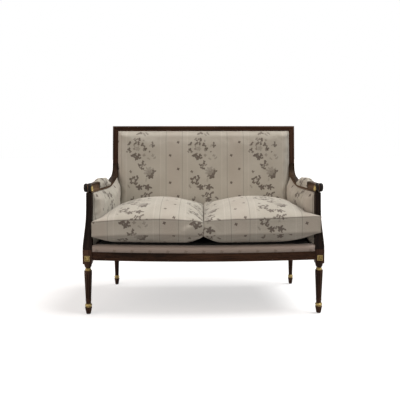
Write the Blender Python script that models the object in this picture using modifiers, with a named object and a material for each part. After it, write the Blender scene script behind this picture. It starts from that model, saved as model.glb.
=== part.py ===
"""A two-seater settee with a turned and carved show-wood frame, gilt mounts and two loose seat cushions.

Units are metres, +Z is up, the sitters face -Y, and the origin is on the floor under the middle of the
settee. While it is modelled, y = 0 is the front face of the front leg blocks, and the sizes are those of
the right-hand side, which the left-hand side mirrors.
"""

import math

import bmesh
import bpy
from mathutils import Matrix, Vector

# Overall plan and heights
FRONT_LEG_SPACING = 1.2306
REAR_LEG_SPACING = 1.076
LEG_DEPTH_SPACING = 0.570
OVERALL_HEIGHT = 0.978
BACK_LEAN_DEG = 6.2
LEAN_START = 0.366

# Fits and joints
CLEARANCE = 0.0003
SOFT_CLEARANCE = 0.0008
OVERRUN = 0.010
TENON_LENGTH = 0.014
TENON_THICKNESS = 0.012
TENON_SHOULDER = 0.006
ARM_TENON_HEIGHT = 0.016
ARM_TENON_RISE = 0.004
DOWEL_RADIUS = 0.006
DOWEL_LENGTH = 0.016
PIN_RADIUS = 0.003
PIN_LENGTH = 0.009
ROD_SIDES = 10

# Front leg
BLOCK_SIZE = 0.049
BLOCK_BOTTOM = 0.274
BLOCK_TOP = 0.351
BLOCK_ROUND = 0.0025
NECK_RADIUS = 0.0205
NECK_WAIST_RADIUS = 0.0130
NECK_HEIGHT = 0.011
COLLAR_TOP = 0.2505
COLLAR_HEIGHT = 0.0145
COLLAR_RADIUS = 0.0168
COLLAR_BORE_RADIUS = 0.0112
COLLAR_SPLIT = 0.0012
SHAFT_TOP_RADIUS = 0.0215
SHAFT_BOTTOM_RADIUS = 0.0138
SHAFT_ROUND = 0.003
ANKLE_TOP = 0.058
ANKLE_RING_HEIGHT = 0.0175
ANKLE_RING_RADIUS = 0.0192
ANKLE_BORE_RADIUS = 0.0105
RING_ROUND = 0.0035
TOE_RADIUS = 0.0195
TOE_BOTTOM_RADIUS = 0.0128
TOE_SHOULDER = 0.006
TOE_PEG_LENGTH = 0.012
FLUTES = 10
FLUTE_DEPTH = 0.0020
FLUTE_MARGIN = 0.012
STEPS_PER_FLUTE = 4
REAR_LEG_STEPS = 20
RING_STEPS = 20
HIDDEN_STEPS = 12

# Rear post, whose turned leg is slimmer and plain
REAR_LEG_SLIMNESS_SHARE = 0.80
POST_WIDTH = 0.046
POST_DEPTH = 0.034
POST_SHOW_WIDTH = 0.032
POST_ROUND = 0.005

# Glides under the four feet
GLIDE_THICKNESS = 0.003
GLIDE_RADIUS = 0.0095
GLIDE_NAIL_RADIUS = 0.0015
GLIDE_NAIL_LENGTH = 0.010

# Seat rails
RAIL_BOTTOM = 0.294
RAIL_SHOW_HEIGHT = 0.045
RAIL_HEIGHT = 0.0545
RAIL_THICKNESS = 0.028
RAIL_SETBACK = 0.003
RAIL_REBATE = 0.007
RAIL_BEAD = 0.0025
RAIL_BEAD_HEIGHT = 0.006
RAIL_ROUND = 0.002
FRONT_BOW = 0.040
BOW_STATIONS = 16
BACK_RAIL_THICKNESS = 0.018
BACK_RAIL_SETBACK = 0.0075

# Top of the back
TOP_RAIL_HEIGHT = 0.029
TOP_RAIL_CORE = 0.028
LOWER_BACK_RAIL_BOTTOM = 0.431
LOWER_BACK_RAIL_HEIGHT = 0.050

# Arms
ARM_WIDTH = 0.033
ARM_INSET = 0.004
ARM_ROUND = 0.003
ARM_UNDERSIDE = 0.646
ARM_FALL = 0.028
ARM_KICK = 0.057
ARM_KICK_START_SHARE = 0.6
ARM_FRONT_THICKNESS = 0.048
ARM_REAR_THICKNESS = 0.023
ARM_THINNING_START_SHARE = 0.25
ARM_THINNING_END_SHARE = 0.75
ARM_SWEEP_DEPTH = 0.060
ARM_SWEEP_HEIGHT = 0.074
ARM_STATIONS = 14
VOLUTE_RADIUS = 0.0235
VOLUTE_CENTRE_Y = 0.050
VOLUTE_LIFT = 0.005
VOLUTE_STATIONS = 16
SWEEP_STATIONS = 6
ARM_POST_RECESS = 0.053
ARM_POST_FOOT_SHARE = 0.05
ARM_POST_SWEEP_SHARE = 0.75
ARM_POST_SLIMMING_SHARE = 0.6
ARM_POST_TOP_WIDTH = 0.032
ARM_POST_TOP_DEPTH = 0.034
ARM_POST_ROUND = 0.004
ARM_POST_STATIONS = 9
BOSS_RADIUS = 0.0225
BOSS_HEIGHT = 0.005
ROSETTE_RADIUS = 0.0155
ROSETTE_HEIGHT = 0.008
ROSETTE_DROP = 0.006
BLOCK_ROSETTE_SIZE = 0.029
BLOCK_ROSETTE_HEIGHT = 0.0045
BLOCK_ROSETTE_CENTRE = 0.305

# Arm pads on top of the arms
ARM_PAD_START = 0.206
ARM_PAD_LENGTH = 0.225
ARM_PAD_CROWN = 0.022
ARM_PAD_LEVELLING_SHARE = 0.5
ARM_PAD_SIDE = 0.0065
ARM_PAD_EDGE = 0.002
ARM_PAD_REVEAL = 0.010
ARM_PAD_END_SPAN = 0.035
ARM_PAD_SHOULDER_SHARE = 0.3
ARM_PAD_STATIONS = 9

# Upholstery on the frame
DECK_TOP = 0.381
DECK_ROUND = 0.016
BORDER_PROUD = 0.004
BORDER_FRONT_TOP = 0.368
BORDER_ROUND = 0.020
BORDER_DEPTH = 0.045
BORDER_SOFTNESS = 0.006
PAD_RECESS = 0.010
PAD_EDGE = 0.002
ARM_PANEL_BULGE = 0.028
ARM_PANEL_SPAN = 0.046
ARM_PANEL_FIT = 0.0018
ARM_PANEL_CELLS_LONG = 10
ARM_PANEL_CELLS_HIGH = 8
BACK_BULGE = 0.030
BACK_SPAN = 0.030
PANEL_THICKNESS = 0.005
PANEL_SETBACK = 0.003
TACK_RAIL_HEIGHT = 0.030
TACK_RAIL_THICKNESS = 0.0115
WEB_THICKNESS = 0.002
WEB_WIDTH = 0.050
SEAT_WEBS_ACROSS = 8
SEAT_WEBS_DEEP = 5
BACK_WEBS_ACROSS = 7
BACK_WEBS_UP = 4
WEB_LAP = 0.012
DUST_COVER_THICKNESS = 0.001
DUST_COVER_LAP = 0.010

# Loose seat cushions
CUSHION_GAP = 0.002
CUSHION_SIDE_EASE = 0.0025
CUSHION_BACK_EASE = 0.004
CUSHION_PROUD = 0.018
CUSHION_EAR_LEFT = 0.013
CUSHION_EAR_RIGHT = 0.044
CUSHION_EAR_START = -0.012
CUSHION_EAR_END = 0.055
CUSHION_TOP_SEAM = 0.501
CUSHION_TOP_SEAM_LIFT = 0.017
CUSHION_LOW_SEAM = 0.421
CUSHION_LOW_SEAM_LIFT = 0.017
CUSHION_SEAM_PEAK_SHARE = 0.35
CUSHION_RIGHT_LIFT = 0.030
CUSHION_RIGHT_LIFT_START_SHARE = 0.3
CUSHION_LOW_LIFT_SHARE = 0.7
CUSHION_LEFT_DROP = 0.012
CUSHION_LEFT_DROP_SPAN = 0.070
CUSHION_CROWN = 0.062
CUSHION_FULLNESS_SHARE = 0.7
CUSHION_CROWN_SPAN = 0.250
CUSHION_BELLY_SPAN = 0.100
CUSHION_BELLY_RIGHT_SPAN = 0.200
CUSHION_BELLY_FRONT_SPAN = 0.035
CUSHION_FRONT_RISE = 0.012
CUSHION_FRONT_RISE_SPAN = 0.130
CUSHION_DRAWN_IN = 0.002
CUSHION_BOXING_SHARES = (0.15, 0.35, 0.65, 0.85)
CUSHION_CELLS_ACROSS = 14
CUSHION_CELLS_DEEP = 12
CUSHION_FRONT_CELL_SHARES = (0.01, 0.03, 0.055)
ZIP_WIDTH_SHARE = 0.15
ZIP_THICKNESS = 0.002
ZIP_LENGTH_SHARE = 0.72

# Hidden blocks and brace
CORNER_BLOCK_REACH = 0.075
CORNER_BLOCK_HEIGHT = 0.040
CORNER_BLOCK_RISE = 0.004
CORNER_BLOCK_STATIONS = 4
BRACE_WIDTH = 0.045
BRACE_HEIGHT = 0.026
BRACE_RISE = 0.012
BRACE_TENON = 0.008

# Places worked out from the sizes above
LEAN = math.tan(math.radians(BACK_LEAN_DEG))
FRONT_LEG_X = FRONT_LEG_SPACING / 2
REAR_LEG_X = REAR_LEG_SPACING / 2
FRONT_LEG_Y = BLOCK_SIZE / 2
REAR_LEG_Y = FRONT_LEG_Y + LEG_DEPTH_SPACING
POST_FRONT_Y = REAR_LEG_Y - POST_DEPTH / 2
POST_OUTER_X = REAR_LEG_X + POST_WIDTH / 2
POST_INNER_X = REAR_LEG_X - POST_WIDTH / 2
POST_TOP = OVERALL_HEIGHT - TOP_RAIL_HEIGHT
POST_REBATE = PAD_RECESS + WEB_THICKNESS + 2 * CLEARANCE
BLOCK_INNER_X = FRONT_LEG_X - BLOCK_SIZE / 2
BLOCK_OUTER_X = FRONT_LEG_X + BLOCK_SIZE / 2
RAIL_TOP = RAIL_BOTTOM + RAIL_HEIGHT
RAIL_SHOW_TOP = RAIL_BOTTOM + RAIL_SHOW_HEIGHT
DECK_BOTTOM = RAIL_TOP + WEB_THICKNESS + 2 * CLEARANCE
BACK_PAD_BOTTOM = LEAN_START + 2 * CLEARANCE
TOE_TOP = ANKLE_TOP - ANKLE_RING_HEIGHT - 2 * CLEARANCE
SHAFT_TOP = COLLAR_TOP - COLLAR_HEIGHT - 2 * CLEARANCE
BACK_RAIL_Y = POST_FRONT_Y + BACK_RAIL_SETBACK
VOLUTE_CENTRE_Z = ARM_UNDERSIDE + VOLUTE_RADIUS + VOLUTE_LIFT
ARM_FRONT_X = FRONT_LEG_X - ARM_INSET
ARM_REAR_X = POST_OUTER_X - ARM_WIDTH / 2
ARM_POST_TOP_Y = ARM_POST_RECESS + ARM_POST_TOP_DEPTH / 2
BACK_REACH = POST_DEPTH + (OVERALL_HEIGHT - LEAN_START) * LEAN
FRONT_REACH = FRONT_BOW + CUSHION_PROUD - RAIL_SETBACK
MID_DEPTH = (POST_FRONT_Y + BACK_REACH - FRONT_REACH) / 2
SIDES = (("left", -1), ("right", 1))


def lerp(start, end, share):
    return start + (end - start) * share


def smoothstep(t):
    t = min(1.0, max(0.0, t))
    return t * t * (3 - 2 * t)


def swell(distance, span):
    """Rises from 0 at an edge to 1 once the distance from it reaches span."""
    return math.sin(math.pi / 2 * min(1.0, max(0.0, distance / span)))


def edge_distance(share, length):
    return min(share, 1 - share) * length


def even_cuts(cells):
    return [i / cells for i in range(1, cells)]


def stile_face(z):
    """The y of the front face of the rear posts, which lean back above LEAN_START."""
    return POST_FRONT_Y + max(0.0, z - LEAN_START) * LEAN


ARM_END_Y = stile_face(ARM_UNDERSIDE)
ARM_TAPER = (ARM_FRONT_X - ARM_REAR_X) / (ARM_END_Y - ARM_POST_TOP_Y)
RAIL_TAPER = (BLOCK_OUTER_X - POST_OUTER_X) / (POST_FRONT_Y - BLOCK_SIZE)


def arm_centre(y):
    """The x of the middle of the arm, which draws in towards the back."""
    return ARM_FRONT_X - (y - ARM_POST_TOP_Y) * ARM_TAPER


def arm_inner(y):
    return arm_centre(y) - ARM_WIDTH / 2


def arm_under(y):
    """The height of the arm's underside: it falls gently, then kicks up to the stile."""
    t = (y - VOLUTE_CENTRE_Y) / (ARM_END_Y - VOLUTE_CENTRE_Y)
    kick = max(0.0, t - ARM_KICK_START_SHARE) / (1 - ARM_KICK_START_SHARE)
    return ARM_UNDERSIDE - ARM_FALL * t + ARM_KICK * kick ** 2


def arm_top(y):
    t = (y - VOLUTE_CENTRE_Y) / (ARM_END_Y - VOLUTE_CENTRE_Y)
    thinning = (t - ARM_THINNING_START_SHARE) / (ARM_THINNING_END_SHARE - ARM_THINNING_START_SHARE)
    return arm_under(y) + lerp(ARM_FRONT_THICKNESS, ARM_REAR_THICKNESS, smoothstep(thinning))


def arm_post_share(z):
    return min(1.0, max(0.0, (z - BLOCK_TOP) / (ARM_UNDERSIDE - BLOCK_TOP)))


def arm_post_front(share):
    """The y of the arm post's front face, which sweeps back from the leg block as it rises."""
    return ARM_POST_RECESS * swell(share - ARM_POST_FOOT_SHARE, ARM_POST_SWEEP_SHARE)


def arm_post_rear(share):
    return arm_post_front(share) + lerp(BLOCK_SIZE, ARM_POST_TOP_DEPTH, share)


def rail_outer(y):
    """The x of the outer face of the side rail, from the leg block to the rear post."""
    return BLOCK_OUTER_X - (y - BLOCK_SIZE) * RAIL_TAPER


def bow(x):
    """How far the front rail stands forward of its ends at x."""
    return FRONT_BOW * max(0.0, 1 - (x / BLOCK_INNER_X) ** 2)


def rail_front(x):
    return RAIL_SETBACK - bow(x)


def rail_rear(x):
    return rail_front(x) + RAIL_THICKNESS


def back_face(z):
    """The y of the front of the stuffed back, away from its edges."""
    return stile_face(z) + PAD_EDGE - BACK_BULGE


def arm_panel_face(y):
    """The x of the inside of the stuffed arm panel, away from its edges."""
    return arm_inner(y) + PAD_EDGE - ARM_PANEL_BULGE


# The scene starts empty, and everything hangs on one empty that puts the origin under the middle
for old in list(bpy.data.objects):
    bpy.data.objects.remove(old)
PARTS = bpy.data.collections.new("settee")
CUTTERS = bpy.data.collections.new("cutters")
bpy.context.scene.collection.children.link(PARTS)
bpy.context.scene.collection.children.link(CUTTERS)


def make_origin(name, location, parent=None):
    origin = bpy.data.objects.new(name, None)
    PARTS.objects.link(origin)
    origin.location = location
    origin.parent = parent
    return origin


ORIGIN = make_origin("settee_origin", (0, -MID_DEPTH, 0))


def make_material(name, colour, roughness, metallic=0.0):
    material = bpy.data.materials.new(name)
    material.use_nodes = True
    shader = material.node_tree.nodes["Principled BSDF"]
    shader.inputs["Base Color"].default_value = (*colour, 1.0)
    shader.inputs["Roughness"].default_value = roughness
    shader.inputs["Metallic"].default_value = metallic
    return material


MAHOGANY = make_material("mahogany", (0.045, 0.018, 0.012), 0.32)
BEECH = make_material("beech", (0.55, 0.38, 0.22), 0.6)
GILT = make_material("gilt", (0.58, 0.44, 0.19), 0.35, 0.9)
FABRIC = make_material("floral_stripe", (0.50, 0.45, 0.38), 0.85)
CAMBRIC = make_material("black_cambric", (0.02, 0.02, 0.02), 0.95)
JUTE = make_material("jute_web", (0.42, 0.32, 0.20), 0.95)
STEEL = make_material("steel", (0.55, 0.55, 0.56), 0.35, 1.0)
ZIP_TAPE = make_material("zip_tape", (0.35, 0.32, 0.28), 0.6)


# Ways of making the solids
def add_object(name, bm, material, smooth_deg=35):
    """Puts a bmesh into the scene as the sub-part of that name."""
    bm.normal_update()
    bmesh.ops.recalc_face_normals(bm, faces=bm.faces)
    mesh = bpy.data.meshes.new(name)
    bm.to_mesh(mesh)
    bm.free()
    mesh.shade_smooth()
    mesh.set_sharp_from_angle(angle=math.radians(smooth_deg))
    mesh.materials.append(material)
    obj = bpy.data.objects.new(name, mesh)
    PARTS.objects.link(obj)
    obj.parent = ORIGIN
    return obj


def combine(obj, tool, operation):
    """Cuts a tool out of an object, or joins it on. The tool itself is hidden."""
    PARTS.objects.unlink(tool)
    CUTTERS.objects.link(tool)
    tool.hide_render = True
    tool.display_type = "WIRE"
    modifier = obj.modifiers.new(tool.name, "BOOLEAN")
    modifier.operation = operation
    modifier.object = tool


def cut(obj, tool):
    combine(obj, tool, "DIFFERENCE")


def unite(obj, tool):
    combine(obj, tool, "UNION")


def round_edges(obj, radius, segments=2, angle_deg=40):
    modifier = obj.modifiers.new("rounding", "BEVEL")
    modifier.width = radius
    modifier.segments = segments
    modifier.limit_method = "ANGLE"
    modifier.angle_limit = math.radians(angle_deg)


def split_along(bm, axis, shares):
    """Cuts a bmesh across one axis at each share."""
    normal = Vector((0, 0, 0))
    normal[axis] = 1
    for share in shares:
        geometry = bm.verts[:] + bm.edges[:] + bm.faces[:]
        bmesh.ops.bisect_plane(bm, geom=geometry, plane_co=normal * share, plane_no=normal)


def cage(name, cuts, place, material):
    """A unit cube cut at the given shares along each axis, whose corners place(u, v, w) then moves."""
    bm = bmesh.new()
    middle = Vector((1, 1, 1)) / 2
    bmesh.ops.create_cube(bm, size=1, matrix=Matrix.Translation(middle))
    for axis, shares in enumerate(cuts):
        split_along(bm, axis, shares)
    for vert in bm.verts:
        vert.co = place(*vert.co)
    return add_object(name, bm, material)


def box(name, low, high, material):
    def place(u, v, w):
        return [lerp(a, b, share) for a, b, share in zip(low, high, (u, v, w))]
    return cage(name, ((), (), ()), place, material)


def rounded_rectangle(width, depth, radius):
    """The section of a square post with its four long edges rounded, from one corner at zero."""
    section = []
    for a, b, start in ((width, depth, 0), (0, depth, 90), (0, 0, 180), (width, 0, 270)):
        centre_a = abs(a - radius)
        centre_b = abs(b - radius)
        for turn in (0, 45, 90):
            angle = math.radians(start + turn)
            section.append((centre_a + radius * math.cos(angle), centre_b + radius * math.sin(angle)))
    return section


def prism(name, section, cuts, place, material):
    """A section of (a, b) points drawn out along a third share w, which place(a, b, w) then moves."""
    bm = bmesh.new()
    face = bm.faces.new([bm.verts.new((a, b, 0)) for a, b in section])
    grown = bmesh.ops.extrude_face_region(bm, geom=[face])
    far_end = [item for item in grown["geom"] if isinstance(item, bmesh.types.BMVert)]
    bmesh.ops.translate(bm, verts=far_end, vec=(0, 0, 1))
    split_along(bm, 2, cuts)
    for vert in bm.verts:
        vert.co = place(*vert.co)
    return add_object(name, bm, material)


def flat_outline(name, outline, thickness):
    """A bmesh of a flat outline, centred on its own thickness along z."""
    curve = bpy.data.curves.new(name, "CURVE")
    curve.dimensions = "2D"
    curve.fill_mode = "BOTH"
    curve.extrude = thickness / 2
    spline = curve.splines.new("POLY")
    spline.points.add(len(outline) - 1)
    for point, (a, b) in zip(spline.points, outline):
        point.co = (a, b, 0, 1)
    spline.use_cyclic_u = True
    guide = bpy.data.objects.new(name, curve)
    PARTS.objects.link(guide)
    depsgraph = bpy.context.evaluated_depsgraph_get()
    bm = bmesh.new()
    bm.from_mesh(bpy.data.meshes.new_from_object(guide.evaluated_get(depsgraph)))
    bpy.data.objects.remove(guide)
    bmesh.ops.remove_doubles(bm, verts=bm.verts, dist=CLEARANCE / 10)
    return bm


def turned_bmesh(name, profile, steps):
    """Turns a profile of (radius, height) points, which runs down its outer side, round the z axis."""
    mesh = bpy.data.meshes.new(name)
    edges = [(i, i + 1) for i in range(len(profile) - 1)]
    mesh.from_pydata([(radius, 0, height) for radius, height in profile], edges, [])
    guide = bpy.data.objects.new(name, mesh)
    PARTS.objects.link(guide)
    screw = guide.modifiers.new("turning", "SCREW")
    screw.axis = "Z"
    screw.steps = steps
    screw.render_steps = steps
    screw.use_merge_vertices = True
    screw.merge_threshold = CLEARANCE / 10
    depsgraph = bpy.context.evaluated_depsgraph_get()
    bm = bmesh.new()
    bm.from_mesh(bpy.data.meshes.new_from_object(guide.evaluated_get(depsgraph)))
    bpy.data.objects.remove(guide)
    bmesh.ops.remove_doubles(bm, verts=bm.verts, dist=CLEARANCE / 10)
    return bm


def turned(name, profile, material, steps, place):
    """A turned piece, moved from the z axis to its place by a matrix."""
    obj = add_object(name, turned_bmesh(name, profile, steps), material)
    obj.matrix_local = place
    return obj


def rod(name, radius, length, place, material=BEECH):
    """A round pin or dowel whose middle is on the place's origin and whose axis is the place's z."""
    bm = bmesh.new()
    bmesh.ops.create_cone(
        bm, cap_ends=True, segments=ROD_SIDES, radius1=radius, radius2=radius, depth=length)
    obj = add_object(name, bm, material)
    obj.matrix_local = place
    return obj


def at(x, y, z):
    return Matrix.Translation((x, y, z))


def facing_out(x, y, z, side):
    """A place whose z axis points along +X on the right-hand side and along -X on the left."""
    return at(x, y, z) @ Matrix.Rotation(math.radians(90) * side, 4, "Y")


def facing_front(x, y, z):
    """A place whose z axis points forward, along -Y."""
    return at(x, y, z) @ Matrix.Rotation(math.radians(90), 4, "X")


def tenon_box(name, low, high, room):
    """A tenon that leans as the stile does, or with room added on every side the mortise that takes it."""
    middle = stile_face((low[2] + high[2]) / 2)

    def place(u, v, w):
        x, y, z = [lerp(a - room, b + room, share) for a, b, share in zip(low, high, (u, v, w))]
        return x, y + stile_face(z) - middle, z
    return cage(name, ((), (), ()), place, BEECH)


def join_with_tenon(rail, post, name, low, high):
    """Puts a tenon on the rail and the mortise for it in the post."""
    unite(rail, tenon_box(name + "_tenon", low, high, 0))
    cut(post, tenon_box(name + "_mortise", low, high, CLEARANCE))


# Legs and posts
def shaft_radius(z, slimness):
    """The radius of the tapered shaft at a height."""
    share = (z - ANKLE_TOP) / (SHAFT_TOP - ANKLE_TOP)
    return lerp(SHAFT_BOTTOM_RADIUS, SHAFT_TOP_RADIUS, share) * slimness


def leg_foot_profile(slimness):
    """The bottom of a turned leg: the end of its shaft, then the peg that carries the ankle ring and toe."""
    bore = ANKLE_BORE_RADIUS * slimness
    peg_end = TOE_TOP - TOE_PEG_LENGTH
    return [(shaft_radius(ANKLE_TOP, slimness), ANKLE_TOP), (bore, ANKLE_TOP), (bore, peg_end), (0, peg_end)]


def front_leg_profile():
    """The turned front leg from inside its block down: neck, collar seat, shaft and peg."""
    top = BLOCK_BOTTOM + OVERRUN
    profile = [(0, top), (NECK_RADIUS, top), (NECK_RADIUS, COLLAR_TOP + NECK_HEIGHT)]
    profile += [(NECK_WAIST_RADIUS, COLLAR_TOP + SHAFT_ROUND), (NECK_WAIST_RADIUS, COLLAR_TOP)]
    profile += [(COLLAR_BORE_RADIUS, COLLAR_TOP), (COLLAR_BORE_RADIUS, SHAFT_TOP)]
    profile += [(SHAFT_TOP_RADIUS - SHAFT_ROUND, SHAFT_TOP), (SHAFT_TOP_RADIUS, SHAFT_TOP - SHAFT_ROUND)]
    flute_top = SHAFT_TOP - FLUTE_MARGIN
    flute_bottom = ANKLE_TOP + FLUTE_MARGIN
    for z in (flute_top, flute_top - SHAFT_ROUND, flute_bottom + SHAFT_ROUND, flute_bottom):
        profile.append((shaft_radius(z, 1), z))
    return profile + leg_foot_profile(1)


def rear_leg_profile():
    """The plainer rear leg, one long taper from inside the post down to its peg."""
    top = BLOCK_BOTTOM + OVERRUN
    slimness = REAR_LEG_SLIMNESS_SHARE
    upper = shaft_radius(SHAFT_TOP, slimness)
    socket = POST_DEPTH / 2 - SHAFT_ROUND
    profile = [(0, top), (socket, top), (socket, SHAFT_TOP + SHAFT_ROUND), (upper, SHAFT_TOP)]
    return profile + leg_foot_profile(slimness)


def carve_flutes(bm):
    """Presses shallow upright flutes into the shaft, between its plain ends."""
    top = SHAFT_TOP - FLUTE_MARGIN - SHAFT_ROUND / 2
    bottom = ANKLE_TOP + FLUTE_MARGIN + SHAFT_ROUND / 2
    for vert in bm.verts:
        if bottom < vert.co.z < top:
            radius = math.hypot(vert.co.x, vert.co.y)
            turn = math.atan2(vert.co.y, vert.co.x)
            depth = FLUTE_DEPTH * (1 - math.cos(turn * FLUTES)) / 2
            vert.co.x *= (radius - depth) / radius
            vert.co.y *= (radius - depth) / radius


def make_front_leg(side_name, side):
    """The turned and fluted leg with its square block, in one piece."""
    x = FRONT_LEG_X * side
    half = BLOCK_SIZE / 2
    low = (x - half, 0, BLOCK_BOTTOM)
    high = (x + half, BLOCK_SIZE, BLOCK_TOP)
    leg = box("front_leg_" + side_name, low, high, MAHOGANY)
    round_edges(leg, BLOCK_ROUND)
    steps = FLUTES * STEPS_PER_FLUTE
    spindle_bm = turned_bmesh("front_spindle_" + side_name, front_leg_profile(), steps)
    carve_flutes(spindle_bm)
    spindle = add_object("front_spindle_" + side_name, spindle_bm, MAHOGANY)
    spindle.location = (x, FRONT_LEG_Y, 0)
    unite(leg, spindle)
    hole = at(x, FRONT_LEG_Y, BLOCK_TOP)
    hole_length = 2 * (DOWEL_LENGTH + CLEARANCE)
    cut(leg, rod("foot_dowel_hole_" + side_name, DOWEL_RADIUS + CLEARANCE, hole_length, hole))
    place = facing_front(x, 0, BLOCK_ROSETTE_CENTRE)
    cut(leg, rod("rosette_hole_" + side_name, PIN_RADIUS + CLEARANCE, 2 * (PIN_LENGTH + CLEARANCE), place))
    return leg


def make_rear_post(side_name, side):
    """The turned rear leg and the leaning stile of the back, in one piece."""
    def place(x, depth, w):
        z = lerp(BLOCK_BOTTOM, POST_TOP - CLEARANCE, w)
        return side * (POST_INNER_X + x), stile_face(z) + depth, z
    section = rounded_rectangle(POST_WIDTH, POST_DEPTH, POST_ROUND)
    knee_share = (LEAN_START - BLOCK_BOTTOM) / (POST_TOP - CLEARANCE - BLOCK_BOTTOM)
    post = prism("rear_post_" + side_name, section, [knee_share], place, MAHOGANY)
    spot = at(REAR_LEG_X * side, REAR_LEG_Y, 0)
    spindle = turned("rear_spindle_" + side_name, rear_leg_profile(), MAHOGANY, REAR_LEG_STEPS, spot)
    unite(post, spindle)

    def rebate(u, v, w):
        z = lerp(BACK_PAD_BOTTOM - CLEARANCE, POST_TOP + OVERRUN, w)
        x = lerp(POST_INNER_X - OVERRUN, POST_OUTER_X - POST_SHOW_WIDTH, u)
        return side * x, stile_face(z) + lerp(-OVERRUN, POST_REBATE, v), z
    cut(post, cage("back_rebate_" + side_name, ((), (), ()), rebate, BEECH))
    return post


def ring_profile(outer, bore, top, bottom):
    """A rounded ring between two heights, seated on a spigot of that bore."""
    inner = bore + CLEARANCE
    shoulder = outer - RING_ROUND / 2
    profile = [(inner, bottom), (inner, top), (shoulder, top), (outer, top - RING_ROUND)]
    profile += [(outer, bottom + RING_ROUND), (shoulder, bottom), (inner, bottom)]
    return profile


def make_collar(side_name, side):
    """The gilt collar between the leg's neck and its shaft, split at the back so it can be closed on."""
    profile = ring_profile(COLLAR_RADIUS, COLLAR_BORE_RADIUS, COLLAR_TOP - CLEARANCE, SHAFT_TOP + CLEARANCE)
    x = FRONT_LEG_X * side
    collar = turned("collar_ring_" + side_name, profile, GILT, RING_STEPS, at(x, FRONT_LEG_Y, 0))
    low = (x - COLLAR_SPLIT / 2, FRONT_LEG_Y, SHAFT_TOP - OVERRUN)
    high = (x + COLLAR_SPLIT / 2, FRONT_LEG_Y + COLLAR_RADIUS + OVERRUN, COLLAR_TOP + OVERRUN)
    cut(collar, box("collar_split_" + side_name, low, high, GILT))


def make_foot(name, x, y, slimness):
    """The gilt ankle ring, the turned toe pegged under it, and the steel glide."""
    bore = ANKLE_BORE_RADIUS * slimness
    profile = ring_profile(ANKLE_RING_RADIUS * slimness, bore, ANKLE_TOP - CLEARANCE, TOE_TOP + CLEARANCE)
    turned("ankle_ring_" + name, profile, GILT, RING_STEPS, at(x, y, 0))
    socket = TOE_TOP - TOE_PEG_LENGTH - CLEARANCE
    nail_top = GLIDE_THICKNESS + GLIDE_NAIL_LENGTH
    bottom = GLIDE_THICKNESS + CLEARANCE
    toe = [(0, socket), (bore + CLEARANCE, socket), (bore + CLEARANCE, TOE_TOP)]
    toe += [(TOE_RADIUS * slimness - CLEARANCE, TOE_TOP), (TOE_RADIUS * slimness, TOE_TOP - CLEARANCE)]
    toe += [(TOE_RADIUS * slimness, TOE_TOP - TOE_SHOULDER), (TOE_BOTTOM_RADIUS * slimness, bottom)]
    toe += [(GLIDE_NAIL_RADIUS + CLEARANCE, bottom), (GLIDE_NAIL_RADIUS + CLEARANCE, nail_top + CLEARANCE)]
    toe += [(0, nail_top + CLEARANCE)]
    turned("toe_" + name, toe, MAHOGANY, RING_STEPS, at(x, y, 0))
    glide = [(0, nail_top), (GLIDE_NAIL_RADIUS, nail_top), (GLIDE_NAIL_RADIUS, GLIDE_THICKNESS)]
    glide += [(GLIDE_RADIUS, GLIDE_THICKNESS), (GLIDE_RADIUS, 0), (0, 0)]
    turned("glide_" + name, glide, STEEL, HIDDEN_STEPS, at(x, y, 0))


# Seat frame
def rail_section():
    """The front rail in (depth behind its front, height): beaded show-wood below a rebate for the border."""
    bead = RAIL_BOTTOM + RAIL_BEAD_HEIGHT
    top_bead = RAIL_SHOW_TOP - RAIL_BEAD_HEIGHT
    section = [(RAIL_THICKNESS, RAIL_BOTTOM), (RAIL_BEAD, RAIL_BOTTOM), (0, RAIL_BOTTOM + RAIL_BEAD)]
    section += [(0, bead), (RAIL_BEAD, bead + RAIL_BEAD), (RAIL_BEAD, top_bead - RAIL_BEAD), (0, top_bead)]
    section += [(0, RAIL_SHOW_TOP - RAIL_BEAD), (RAIL_BEAD, RAIL_SHOW_TOP), (RAIL_REBATE, RAIL_SHOW_TOP)]
    section += [(RAIL_REBATE, RAIL_TOP), (RAIL_THICKNESS, RAIL_TOP)]
    return section


def make_front_rail(legs):
    reach = BLOCK_INNER_X - CLEARANCE

    def place(depth, z, w):
        x = lerp(-reach, reach, w)
        return x, rail_front(x) + depth, z
    rail = prism("front_rail", rail_section(), even_cuts(BOW_STATIONS), place, MAHOGANY)
    tenon_y = RAIL_SETBACK + (RAIL_THICKNESS + RAIL_REBATE - TENON_THICKNESS) / 2
    for side_name, side in SIDES:
        low_x, high_x = sorted((side * (reach - OVERRUN), side * (reach + TENON_LENGTH)))
        low = (low_x, tenon_y, RAIL_BOTTOM + TENON_SHOULDER)
        high = (high_x, tenon_y + TENON_THICKNESS, RAIL_TOP - TENON_SHOULDER)
        join_with_tenon(rail, legs[side_name], "front_rail_" + side_name, low, high)
    return rail


def make_side_rail(side_name, side, leg, post):
    def place(u, v, w):
        y = lerp(BLOCK_SIZE + CLEARANCE, POST_FRONT_Y - CLEARANCE, v)
        return side * (rail_outer(y) - RAIL_THICKNESS * (1 - u)), y, lerp(RAIL_BOTTOM, RAIL_TOP, w)
    rail = cage("side_rail_" + side_name, ((), (), ()), place, MAHOGANY)
    round_edges(rail, RAIL_ROUND)
    for end, y, reach, post_hit in (("front", BLOCK_SIZE, -1, leg), ("rear", POST_FRONT_Y, 1, post)):
        x = side * (rail_outer(y) - RAIL_THICKNESS / 2)
        low_y, high_y = sorted((y - OVERRUN * reach, y + TENON_LENGTH * reach))
        low = (x - TENON_THICKNESS / 2, low_y, RAIL_BOTTOM + TENON_SHOULDER)
        high = (x + TENON_THICKNESS / 2, high_y, RAIL_TOP - TENON_SHOULDER)
        join_with_tenon(rail, post_hit, "side_rail_" + end + "_" + side_name, low, high)


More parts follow.
